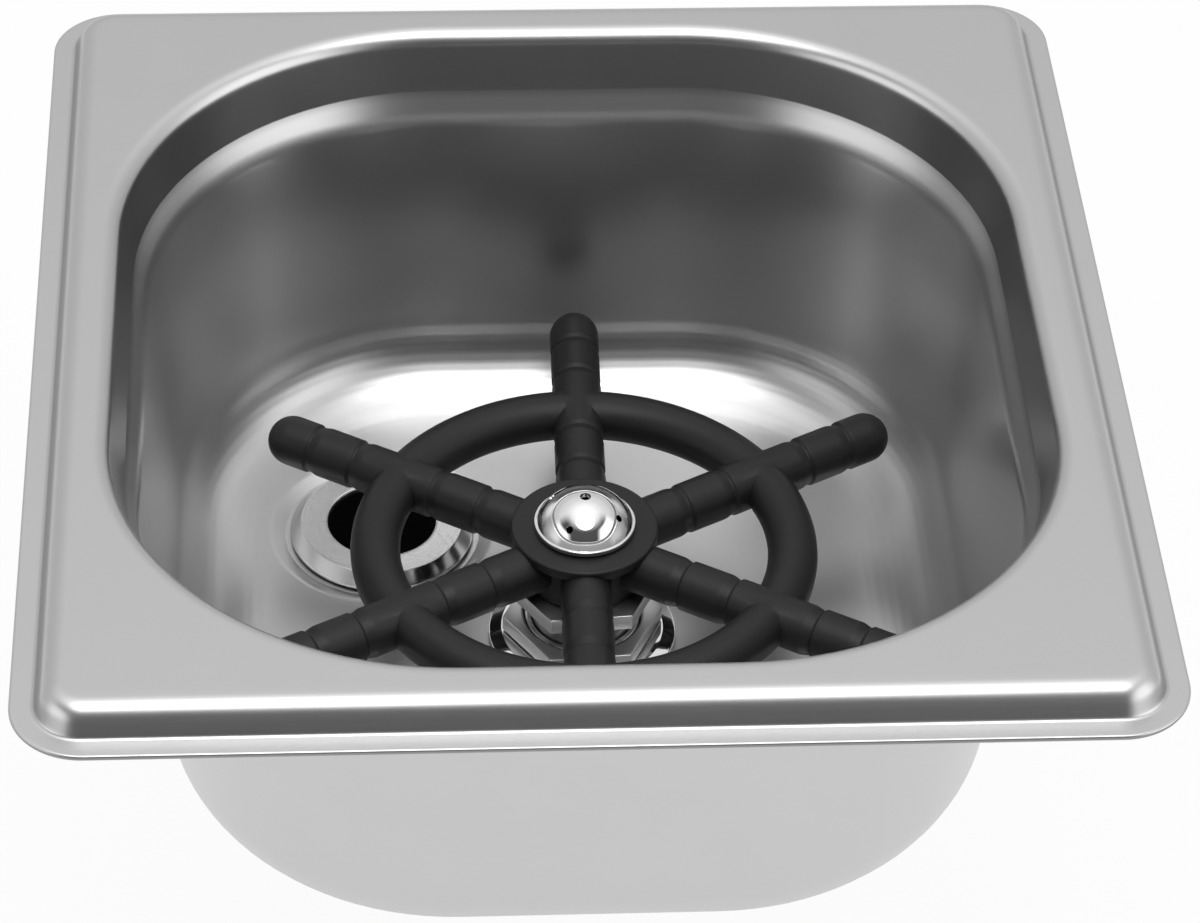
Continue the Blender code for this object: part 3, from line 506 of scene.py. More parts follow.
class Nodes:
    """The nodes of one material or world."""

    def __init__(self, owner: Union[bpy.types.Material, bpy.types.World]) -> None:
        """Start the owner's tree afresh.

        Args:
            owner: The material or world.
        """
        owner.use_nodes = True
        self.tree = owner.node_tree
        self.tree.nodes.clear()

    def node(self, kind: str, settings: dict, sockets: dict) -> bpy.types.Node:
        """One node of any type.

        Args:
            kind: The node's type.
            settings: Its own settings, and "stops" for a ramp: (place, grey) pairs.
            sockets: Numbers, colours, Values or sockets for its inputs, by name or place.

        Returns:
            The node.
        """
        made = self.tree.nodes.new(kind)
        stops = settings.get("stops")
        for name, value in settings.items():
            if name != "stops":
                setattr(made, name, value)
        if stops:
            ramp = made.color_ramp
            while len(ramp.elements) < len(stops):
                ramp.elements.new(0.5)
            for element, (place, grey) in zip(ramp.elements, stops):
                element.position = place
                element.color = (grey, grey, grey, 1)
        for name, value in sockets.items():
            if isinstance(value, Value):
                value = value.socket
            if isinstance(value, bpy.types.NodeSocket):
                self.tree.links.new(value, made.inputs[name])
            else:
                made.inputs[name].default_value = value
        return made

    def value(self, kind: str, settings: dict, sockets: dict, output: Union[int, str] = 0) -> Value:
        """One output of a new node."""
        return Value(self, self.node(kind, settings, sockets).outputs[output])

    def parts(self, vector: Value) -> tuple[Value, Value, Value]:
        """The three parts of a vector."""
        x, y, z = self.node("ShaderNodeSeparateXYZ", {}, {0: vector}).outputs
        return Value(self, x), Value(self, y), Value(self, z)

    def reach(self, place: Value) -> Value:
        """How far a place lies from the piece's own upright axis."""
        x, y, _ = self.parts(place)
        return (x * x + y * y).root()

    def stretched(self, vector: Value, scale: Point3, turn_deg: float = 0.0) -> Value:
        """A place vector turned about the upright axis, then scaled.

        Args:
            vector: The place.
            scale: What each of its parts is multiplied by.
            turn_deg: The turn that comes first.

        Returns:
            The new vector.
        """
        sockets = {"Vector": vector, "Rotation": (0, 0, math.radians(turn_deg))}
        turned_vector = self.value("ShaderNodeMapping", {"vector_type": "POINT"}, sockets)
        return self.value("ShaderNodeVectorMath", {"operation": "MULTIPLY"}, {0: turned_vector, 1: scale})

    def noise(self, vector: Value, scale: float, detail: float = 2.0) -> Value:
        """Noise about 0.5."""
        sockets = {"Vector": vector, "Scale": scale, "Detail": detail}
        return self.value("ShaderNodeTexNoise", {}, sockets, "Fac")

    def shaded(self, base: Point3, lift: Value) -> Value:
        """The base colour made darker or lighter.

        Args:
            base: The base colour.
            lift: The factor, about 1.

        Returns:
            The colour.
        """
        shade = self.value("ShaderNodeCombineColor", {}, {0: lift, 1: lift, 2: lift})
        settings = {"data_type": "RGBA", "blend_type": "MULTIPLY"}
        return self.value("ShaderNodeMix", settings, {0: 1.0, 6: (*base, 1.0), 7: shade}, 2)

    def bump(self, height: Value, strength: float, distance: float) -> Value:
        """A bumped normal, its bumps up to a distance in metres."""
        sockets = {"Strength": strength, "Distance": distance, "Height": height}
        return self.value("ShaderNodeBump", {}, sockets)

    def millimetres(self) -> Value:
        """The place on the object, in millimetres."""
        place = self.value("ShaderNodeTexCoord", {}, {}, "Object")
        return self.value("ShaderNodeVectorMath", {"operation": "SCALE"}, {0: place, "Scale": 1 / MM})

    def finish(self, sockets: dict) -> None:
        """Close a material with a Principled shader."""
        shader = self.node("ShaderNodeBsdfPrincipled", {}, sockets)
        self.node("ShaderNodeOutputMaterial", {}, {"Surface": shader.outputs[0]})


# ---------------------------------------------------------------- finishes


class Grain(Enum):
    """How the tool's marks run on a metal, as what each part of a place is multiplied by."""

    ROLLED = (0.06, 1.0, 1.0)
    LEVEL = (0.03, 0.03, 1.0)
    TURNED = (1.0, 0.4, 0.5)

    def space(self, nodes: Nodes, place: Value) -> Value:
        """The place, drawn out along the tool's marks.

        Args:
            nodes: The material's nodes.
            place: The place on the object in millimetres.

        Returns:
            A vector in which the marks are long along one way and narrow across it.
        """
        if self is not Grain.TURNED:
            return nodes.stretched(place, self.value)
        x, y, z = nodes.parts(place)
        _, round_share, up_share = self.value
        sockets = {0: (x * x + y * y).root(), 1: x.maths("ARCTAN2", y, x) * round_share, 2: z * up_share}
        return nodes.value("ShaderNodeCombineXYZ", {}, sockets)


@dataclass(frozen=True)
class Scratches:
    """Faint scratches that run one way."""

    stretch: Point3
    turn_deg: float
    per_mm: float
    band: Point2

    def mask(self, nodes: Nodes, place: Value) -> Value:
        """Where they lie: 1 on a scratch, 0 elsewhere."""
        vector = nodes.stretched(place, self.stretch, self.turn_deg)
        return nodes.noise(vector, self.per_mm, 1.0).band(*self.band)


SCRATCHES = (
    Scratches((0.05, 1.7, 1.7), 31.0, 1.3, (0.69, 0.74)),
    Scratches((1.5, 0.06, 1.5), -24.0, 1.1, (0.70, 0.75)),
)


@dataclass(frozen=True)
class Finish:
    """What a piece's surface is made of: its material's name, its colour and its roughness."""

    name: str
    color: Point3
    roughness: float

    def material(self) -> bpy.types.Material:
        """The material, made once.

        Returns:
            The material.
        """
        made = bpy.data.materials.get(self.name)
        if not made:
            made = bpy.data.materials.new(self.name)
            self.dress(Nodes(made))
        return made

    def dress(self, nodes: Nodes) -> None:
        """Lay the material's nodes, which each kind of finish does in its own way."""
        raise NotImplementedError


@dataclass(frozen=True)
class Metal(Finish):
    """A metal finish: the marks on it, where it is smoother or duller than elsewhere, and where shade is
    painted darker in a bore and round a neck.

    A bore, a polished rim and a neck are found by their radii and heights in millimetres.
    """

    grain: Grain
    lines_per_mm: float
    line_depth: float
    mottle: float
    scratch: float
    specks: float
    # radius of a bore whose colour is darkened as painted shade
    painted_shade_bore: float = 0.0
    gloss_swing: float = 0.5
    wall_gloss: float = 0.0
    # share by which the neck's colour is darkened as painted shade
    painted_neck_shade: float = 0.0
    polished_from: float = 0.0
    cloud_per_mm: float = 0.09
    fine_per_mm: float = 6.0
    fine_band: Point2 = (0.72, 0.80)
    scratch_roughness: float = 0.6
    polish_edge: float = 0.1
    polish_gloss: float = 0.12
    polish_levelling: float = 0.7
    bore_painted_shade: float = 0.97
    bore_roughness: float = 0.5
    bore_edge: Point2 = (0.03, 0.12)
    bore_top: Point2 = (0.9, 1.5)
    steep_band: Point2 = (0.3, 0.6)
    neck_foot: Point2 = (-6.2, -4.8)
    neck_top: Point2 = (2.4, 4.0)
    bump_strength: float = 0.35
    bump_height: float = 0.00002
    least_roughness: float = 0.02

    def dress(self, nodes: Nodes) -> None:
        """Lay the metal's nodes.

        Args:
            nodes: The material's nodes.
        """
        place = nodes.millimetres()
        lines = nodes.noise(self.grain.space(nodes, place), self.lines_per_mm, 3.0)
        cloud = nodes.noise(place, self.cloud_per_mm, 3.0)
        fine = nodes.noise(place, self.fine_per_mm)
        one_way, other_way = (run.mask(nodes, place) for run in SCRATCHES)
        marks = (one_way + other_way) * self.scratch
        dots = fine.band(*self.fine_band) * self.specks
        swing = self.roughness * self.gloss_swing
        lift = 1.0 + (cloud - 0.5) * (2 * self.mottle) + (lines - 0.5) * self.mottle - dots
        rough = self.roughness + (lines - 0.5) * swing + marks * self.scratch_roughness + dots
        height = lines * self.line_depth + fine * self.specks - marks
        if self.polished_from:
            polish = nodes.reach(place).band(self.polished_from, self.polished_from + self.polish_edge)
            rough = rough - polish * self.polish_gloss
            height = height * (1.0 - polish * self.polish_levelling)
        if self.wall_gloss:
            rough = rough - self.steepness(nodes) * self.wall_gloss
        # painted shade: the neck's colour is darkened in place of the dark reflection it shows
        if self.painted_neck_shade:
            lift = lift * (1.0 - self.neck(nodes, place) * self.painted_neck_shade)
        # painted shade: the bore's colour is darkened in place of the shade deep in the hole; it is also made
        # rougher
        if self.painted_shade_bore:
            inside = self.bore(nodes, place)
            lift, rough = lift * (1.0 - inside * self.bore_painted_shade), rough + inside * self.bore_roughness
        nodes.finish({
            "Base Color": nodes.shaded(self.color, lift),
            "Roughness": rough.at_least(self.least_roughness),
            "Metallic": 1.0,
            "Normal": nodes.bump(height, self.bump_strength, self.bump_height),
        })

    def steepness(self, nodes: Nodes) -> Value:
        """Where the sheet stands upright, and the die has smoothed it: 1 on walls, 0 on level faces."""
        _, _, upward = nodes.parts(nodes.value("ShaderNodeTexCoord", {}, {}, "Normal"))
        return 1.0 - upward.unsigned().band(*self.steep_band)

    def neck(self, nodes: Nodes, place: Value) -> Value:
        """Where shade is painted darker round the neck under the flange, in place of its dark reflection: 1
        there, 0 elsewhere.
        """
        _, _, height = nodes.parts(place)
        return self.steepness(nodes) * height.band(*self.neck_foot) * (1.0 - height.band(*self.neck_top))

    def bore(self, nodes: Nodes, place: Value) -> Value:
        """Where shade is painted darker inside a fitting's bore, which is also rougher there: 1 within its
        bore, 0 elsewhere.

        Args:
            nodes: The material's nodes.
            place: The place on the object in millimetres.

        Returns:
            The mask.
        """
        near, far = self.bore_edge
        _, _, height = nodes.parts(place)
        within = 1.0 - nodes.reach(place).band(self.painted_shade_bore + near, self.painted_shade_bore + far)
        return within * (1.0 - height.band(*self.bore_top))


@dataclass(frozen=True)
class Moulding(Finish):
    """A moulded finish, plastic or rubber: its skin, its clouding and the dust on it."""

    skin_per_mm: float = 3.0
    skin_depth: float = 0.5
    mottle: float = 0.08
    specular: float = 0.5
    flow_per_mm: float = 0.12
    dust_per_mm: float = 7.0
    dust_band: Point2 = (0.74, 0.82)
    dust_lift: float = 0.3
    skin_roughness: float = 0.12
    flow_roughness: float = 0.15
    bump_height: float = 0.00003

    def dress(self, nodes: Nodes) -> None:
        """Lay the moulding's nodes.

        Args:
            nodes: The material's nodes.
        """
        place = nodes.millimetres()
        skin = nodes.noise(place, self.skin_per_mm)
        flow = nodes.noise(place, self.flow_per_mm, 3.0)
        dust = nodes.noise(place, self.dust_per_mm, 1.0).band(*self.dust_band)
        lift = 1.0 + (flow - 0.5) * (2 * self.mottle) + dust * self.dust_lift
        rough = self.roughness + (skin - 0.5) * self.skin_roughness + (flow - 0.5) * self.flow_roughness
        nodes.finish({
            "Base Color": nodes.shaded(self.color, lift),
            "Roughness": rough,
            "Specular IOR Level": self.specular,
            "Normal": nodes.bump(skin, self.skin_depth, self.bump_height),
        })


SATIN_STEEL = Metal(
    "satin_sheet", (0.60, 0.60, 0.60), 0.34, Grain.ROLLED, lines_per_mm=3.0, line_depth=0.02, mottle=0.015,
    scratch=0.02, specks=0.01, gloss_swing=0.1, wall_gloss=0.05, painted_neck_shade=0.5)
TURNED_STEEL = Metal(
    "turned_stainless", (0.64, 0.64, 0.64), 0.26, Grain.TURNED, lines_per_mm=6.0, line_depth=0.4, mottle=0.06,
    scratch=0.08, specks=0.03)
DRAIN_STEEL = replace(TURNED_STEEL, name="drain_stainless", painted_shade_bore=8.75, polished_from=13.1)
BRUSHED_CHROME = Metal(
    "brushed_chrome", (0.62, 0.62, 0.62), 0.34, Grain.LEVEL, lines_per_mm=9.0, line_depth=0.02, mottle=0.03,
    scratch=0.02, specks=0.01, gloss_swing=0.1)
CHROME = Metal(
    "mirror_chrome", (0.80, 0.80, 0.80), 0.035, Grain.TURNED, lines_per_mm=4.0, line_depth=0.05, mottle=0.02,
    scratch=0.04, specks=0.02)
ZINC = Metal(
    "bright_zinc", (0.52, 0.53, 0.55), 0.36, Grain.TURNED, lines_per_mm=3.0, line_depth=0.3, mottle=0.12,
    scratch=0.10, specks=0.08)
SPRING_WIRE = Metal(
    "drawn_wire", (0.45, 0.45, 0.45), 0.30, Grain.TURNED, lines_per_mm=5.0, line_depth=0.3, mottle=0.06,
    scratch=0.10, specks=0.05)
BRASS = Metal(
    "plain_brass", (0.74, 0.55, 0.26), 0.28, Grain.TURNED, lines_per_mm=5.0, line_depth=0.3, mottle=0.08,
    scratch=0.10, specks=0.05)
BLACK_PLASTIC = Moulding("matt_black", (0.009, 0.009, 0.0093), 0.50, specular=0.38)
RUBBER = Moulding(
    "black_rubber", (0.022, 0.022, 0.022), 0.78, skin_per_mm=5.0, skin_depth=0.7, mottle=0.12, specular=0.3)
ACETAL = Moulding("white_acetal", (0.74, 0.74, 0.72), 0.42, skin_per_mm=4.0, skin_depth=0.25, mottle=0.03)


# ---------------------------------------------------------------- bodies and axes


class Body(Enum):
    """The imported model's moving bodies."""

    BASIN = "basin_assembly"
    PLATE = "spring_plate"
    HEAD = "press_head"


def fit(item: Piece, finish: Finish, body: Body, node: str) -> None:
    """Dress a piece, let it ride on its body and let it stand for its solid.

    Args:
        item: The piece.
        finish: Its finish.
        body: The body that carries it.
        node: The solid it stands for.
    """
    if not item.data.materials:
        item.data.materials.append(finish.material())
    else:
        item.data.materials[0] = finish.material()
    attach(item, body.value)
    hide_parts(node)
    LOG.info("%s stands for %s: %d faces", item.name, node, len(item.data.polygons))


@dataclass(frozen=True)
class Axis:
    """An upright axis that stands in the basin's floor."""

    x: float
    y: float
    floor: float = FLOOR

    def point(self, height: float) -> Point3:
        """A point of the axis above the floor, in metres."""
        return (self.x * MM, self.y * MM, (self.floor + height) * MM)

    def carry(self, body: Body, pieces: Sequence[tuple[Piece, Finish, str, str]]) -> None:
        """Put pieces that were shaped about the axis on it and dress them.

        Args:
            body: The body that carries them.
            pieces: Each piece with its finish, the solid it stands for and its slot.
        """
        for item, finish, node, slot in pieces:
            item.location = self.point(0.0)
            fit(item, finish, body, node)


VALVE_AXIS = Axis(2.1, 1.1)
DRAIN_AXIS = Axis(-29.2, 27.3)


# ---------------------------------------------------------------- basin


@dataclass(frozen=True)
class Station:
    """One level of the basin's sheet: a rounded rectangle and the way its upper side faces."""

    half_width: float
    half_length: float
    corner: float
    height: float
    out: float = 0.0
    up: float = 1.0

    def inward(self, inset: float, drop: float) -> "Station":
        """A level station that is smaller all round and lower."""
        half_width, half_length = self.half_width - inset, self.half_length - inset
        return Station(half_width, half_length, self.corner - inset, self.height - drop)

    def moved(self, depth: float) -> "Station":
        """The station sunk below the upper side."""
        return self.inward(self.out * depth, self.up * depth)

    def between(self, other: "Station", share: float) -> "Station":
        """The station part of the way to another."""
        pairs = zip(vars(self).values(), vars(other).values())
        return Station(*(a + (b - a) * share for a, b in pairs))

    def ring(self, steps: int, guard: float = 1.2) -> Ring:
        """Points of the rounded rectangle, anticlockwise seen from above.

        Args:
            steps: Steps in each corner.
            guard: How far inside the straights' ends their two extra points lie.

        Returns:
            The points.
        """
        points: Ring = []
        for quarter, (side_x, side_y) in enumerate(((1, 1), (-1, 1), (-1, -1), (1, -1))):
            center = (side_x * (self.half_width - self.corner), side_y * (self.half_length - self.corner))
            start = quarter * 90
            curve = arc(center, self.corner, start, start + 90, steps)
            behind, ahead = math.radians(start), math.radians(start + 90)
            back = (math.sin(behind) * guard, -math.cos(behind) * guard)
            run = (-math.sin(ahead) * guard, math.cos(ahead) * guard)
            curve = [(curve[0][0] + back[0], curve[0][1] + back[1])] + curve
            curve.append((curve[-1][0] + run[0], curve[-1][1] + run[1]))
            points += [(x, y, self.height) for x, y in curve]
        return points


@dataclass
class Basin:
    """The pressed pan with its stepped flange, its stacking ledge, its recess and its two holes."""

    width: float = 162.0
    length: float = 176.0
    rim_corner: float = 10.5
    sheet: float = 0.8
    lip_width: float = 3.3
    lip_fillet: float = 0.8
    lip_edge: tuple[Point2, ...] = ((0.3, 0.0), (0.09, 0.06), (0.0, 0.25))
    step_height: float = 5.0
    step_corner: float = 7.0
    step_bend: float = 3.4
    step_lean_deg: float = 26.0
    opening_width: float = 138.4
    opening_length: float = 150.2
    opening_corner: float = 50.3
    opening_bend: float = 2.7
    neck_depth: float = 9.8
    neck_inset: float = 2.1
    neck_fillet: float = 1.2
    ledge_inset: float = 2.1
    ledge_drop: float = 4.2
    ledge_bend: float = 9.0
    floor: float = FLOOR
    floor_guard: float = 0.15
    wall_inset: float = 4.55
    floor_bend: float = 13.2
    valve_hole: float = 10.88
    sleeve_width: float = 1.5
    drain_hole: float = 13.62
    hole_edge: float = 0.15
    recess_depth: float = 0.9
    recess_floor: float = 15.75
    recess_fillet: float = 0.6
    recess_top: float = 18.1
    recess_bend: float = 2.5
    recess_brink: float = 0.55
    recess_slant: float = 0.5
    under_bends: Point2 = (0.8, 0.5)
    rim_steps: int = 10
    bowl_steps: int = 12
    corner_steps: int = 24
    hole_steps: int = 96
    sharp_deg: float = 50.0
    finish: Finish = SATIN_STEEL

    def rim(self) -> list[Station]:
        """Lip, leaning riser and outer bend of the flange.

        Returns:
            The stations, from the edge inwards.
        """
        crest = self.lip_width + (self.step_height - self.sheet) * math.tan(math.radians(self.step_lean_deg))
        corners = [
            (0, self.sheet, 0), (self.lip_width, self.sheet, self.lip_fillet),
            (crest, self.step_height, self.step_bend), (crest + self.step_bend, self.step_height, 0),
        ]
        stations = []
        for inset, height in rounded(corners, self.rim_steps, closed=False, guard=math.inf):
            corner = self.step_corner + self.lip_width - inset if inset > 0 else self.rim_corner
            stations.append(Station(self.width / 2 - inset, self.length / 2 - inset, corner, height))
        return self.facing(stations)

    def bowl(self) -> list[Station]:
        """Inner bend, neck, ledge, wall and floor bend.

        Returns:
            The stations, from the flange to the floor.
        """
        neck_foot = self.step_height - self.neck_depth
        ledge = -self.neck_inset - self.ledge_inset
        wall = ledge - self.wall_inset
        corners = [
            (self.opening_bend, self.step_height, 0), (0, self.step_height, self.opening_bend),
            (-self.neck_inset, neck_foot, self.neck_fillet),
            (ledge, neck_foot - self.ledge_drop, self.ledge_bend),
            (wall, self.floor, self.floor_bend), (wall - self.floor_bend, self.floor, 0),
        ]
        stations = []
        for offset, height in rounded(corners, self.bowl_steps, closed=False, guard=math.inf)[:-1]:
            half_width, half_length = self.opening_width / 2 + offset, self.opening_length / 2 + offset
            stations.append(Station(half_width, half_length, self.opening_corner + offset, height))
        return self.facing(stations)

    @staticmethod
    def facing(stations: list[Station]) -> list[Station]:
        """The same stations, each with the way its upper side faces.

        Args:
            stations: Stations in order, of which both ends lie level.

        Returns:
            The new stations.
        """
        made = []
        for i, here in enumerate(stations):
            out, up = 0.0, 1.0
            if 0 < i < len(stations) - 1:
                before, after = stations[i - 1], stations[i + 1]
                run = Vector((here.half_width - before.half_width, here.height - before.height)).normalized()
                run += Vector((after.half_width - here.half_width, after.height - here.height)).normalized()
                run.normalize()
                out, up = run.y, -run.x
            made.append(replace(here, out=out, up=up))
        return made

    @staticmethod
    def guarded(stations: list[Station], guard: float = 0.5) -> list[Station]:
        """Stations with two more near the ends of each long straight.

        Args:
            stations: Stations in order.
            guard: How far inside a straight's ends the two lie.

        Returns:
            All the stations, in order.
        """
        made = stations[:1]
        for before, here in zip(stations, stations[1:]):
            length = math.hypot(here.half_width - before.half_width, here.height - before.height)
            if length > 3 * guard:
                made += [before.between(here, guard / length), before.between(here, 1 - guard / length)]
            made.append(here)
        return made

    def recess_section(self) -> Section:
        """The drain's shallow recess and hole, as a band through the floor.

        Returns:
            The band's (radius, height) points, from the floor's upper side to its underside.
        """
        deep, sheet, brink = -self.recess_depth, self.sheet, self.recess_top + self.recess_brink
        foot_bend, top_bend = self.under_bends
        corners = [
            (brink, 0.0, 0.0),
            (self.recess_top, 0.0, self.recess_bend),
            (self.recess_floor, deep, self.recess_fillet),
            (self.drain_hole, deep, self.hole_edge),
            (self.drain_hole, deep - sheet, self.hole_edge),
            (self.recess_floor + self.recess_slant, deep - sheet, foot_bend),
            (self.recess_top + self.recess_slant, -sheet, top_bend),
            (brink, -sheet, 0.0),
        ]
        return rounded(corners, 5, closed=False, guard=self.floor_guard)

    def sleeve_section(self) -> Section:
        """The valve's hole, as a band through the floor.

        Returns:
            The band's (radius, height) points, from the floor's upper side to its underside.
        """
        hole, edge, under = self.valve_hole, self.hole_edge, -self.sheet
        outside = hole + self.sleeve_width
        corners = [(outside, 0.0, 0.0), (hole, 0.0, edge), (hole, under, edge), (outside, under, 0.0)]
        return rounded(corners, 3, closed=False, guard=self.floor_guard)

    def hole(self, shell: Shell, axis: Axis, section: Section) -> list[Loop]:
        """A turned band through the floor.

        Args:
            shell: The mesh in the making.
            axis: The axis the band is turned about.
            section: Its (radius, height) points.

        Returns:
            Its rings, from the floor's upper side to its underside.
        """
        center = (axis.x, axis.y)
        rings = [shell.ring(circle(radius, self.floor + height, self.hole_steps, center))
                 for radius, height in section]
        shell.skin(rings)
        return rings

    def build(self) -> None:
        """Make the pan."""
        shell = Shell()
        edge, *top = self.guarded(self.rim() + self.bowl())
        upper = [shell.ring(station.ring(self.corner_steps)) for station in top]
        lower = [shell.ring(station.moved(self.sheet).ring(self.corner_steps)) for station in top]
        lip = [*self.lip_edge, *((inset, self.sheet - drop) for inset, drop in reversed(self.lip_edge))]
        outside = [shell.ring(edge.inward(inset, drop).ring(self.corner_steps)) for inset, drop in lip]
        shell.skin(list(reversed(upper)) + outside + lower)
        brink = top[-1].inward(self.floor_guard, 0.0)
        inner_top = shell.ring(brink.ring(self.corner_steps))
        inner_low = shell.ring(brink.moved(self.sheet).ring(self.corner_steps))
        shell.skin([upper[-1], inner_top])
        shell.skin([lower[-1], inner_low])
        recess = self.hole(shell, DRAIN_AXIS, self.recess_section())
        sleeve = self.hole(shell, VALVE_AXIS, self.sleeve_section())
        shell.flat(inner_top, recess[0], sleeve[0])
        shell.flat(inner_low, recess[-1], sleeve[-1])
        item = shell.object("basin_pressing", self.sharp_deg)
        fit(item, self.finish, Body.BASIN, "basin")


# ---------------------------------------------------------------- valve and what clamps it


@dataclass
class Clamp:
    """Under-gasket, backing washer and locknut under the floor, on a threaded tail.

    The gasket and the backing washer are each given by their outer radius and their thickness.
    """

    prefix: str
    axis: Axis
    top: float
    bore: float
    gasket: Point2
    backing: Point2
    nut_across: float
    nut_height: float
    nut_turn_deg: float
    nut_edge: float = 0.25
    corner_spare: float = 0.3
    face_share: float = 0.97
    chamfer_deg: float = 30.0
    sink: float = 0.9
    overrun: float = 0.5
    gap: float = 0.3

    def nut(self, name: str, top: float) -> Piece:
        """The locknut, its corners turned off at both faces and its bore countersunk.

        Args:
            name: The piece's name.
            top: Height of its upper face.

        Returns:
            The nut.
        """
        foot = top - self.nut_height
        item = hexagon(name, self.nut_across, foot, top, self.nut_turn_deg, self.nut_edge)
        corner = self.nut_across / 2 / math.cos(math.pi / 6) + self.corner_spare
        face = self.nut_across / 2 * self.face_share
        drop = (corner - face) * math.tan(math.radians(self.chamfer_deg))
        drum = [(0, top), (face, top), (corner, top - drop), (corner, foot + drop), (face, foot), (0, foot)]
        carve(item, turned("drum", drum, FINE_STEPS, closed=False), Cut.KEEP)
        sink, over = self.sink, self.overrun
        bore = [
            (0, top + over), (self.bore + sink + over, top + over), (self.bore, top - sink),
            (self.bore, foot + sink), (self.bore + sink + over, foot - over), (0, foot - over),
        ]
        return carve(item, turned("bore", bore, closed=False), Cut.REMOVE)

    def build(self) -> None:
        """Make the three pieces."""
        top, parts = self.top, []
        rings = (
            ("under_seal", self.gasket, 0.2, RUBBER, "under_gasket", "rubber"),
            ("plate_washer", self.backing, 0.15, ZINC, "backing_washer", "zinc"),
        )
        for shape, (radius, thick), edge, finish, node, slot in rings:
            ring = FlatRing(self.bore, radius, top - thick, top, edge)
            parts.append((ring.piece(f"{self.prefix}_{shape}"), finish, f"{self.prefix}_{node}", slot))
            top -= thick + self.gap
        parts.append((self.nut(f"{self.prefix}_nut", top), ZINC, f"{self.prefix}_locknut", "zinc"))
        self.axis.carry(Body.BASIN, parts)


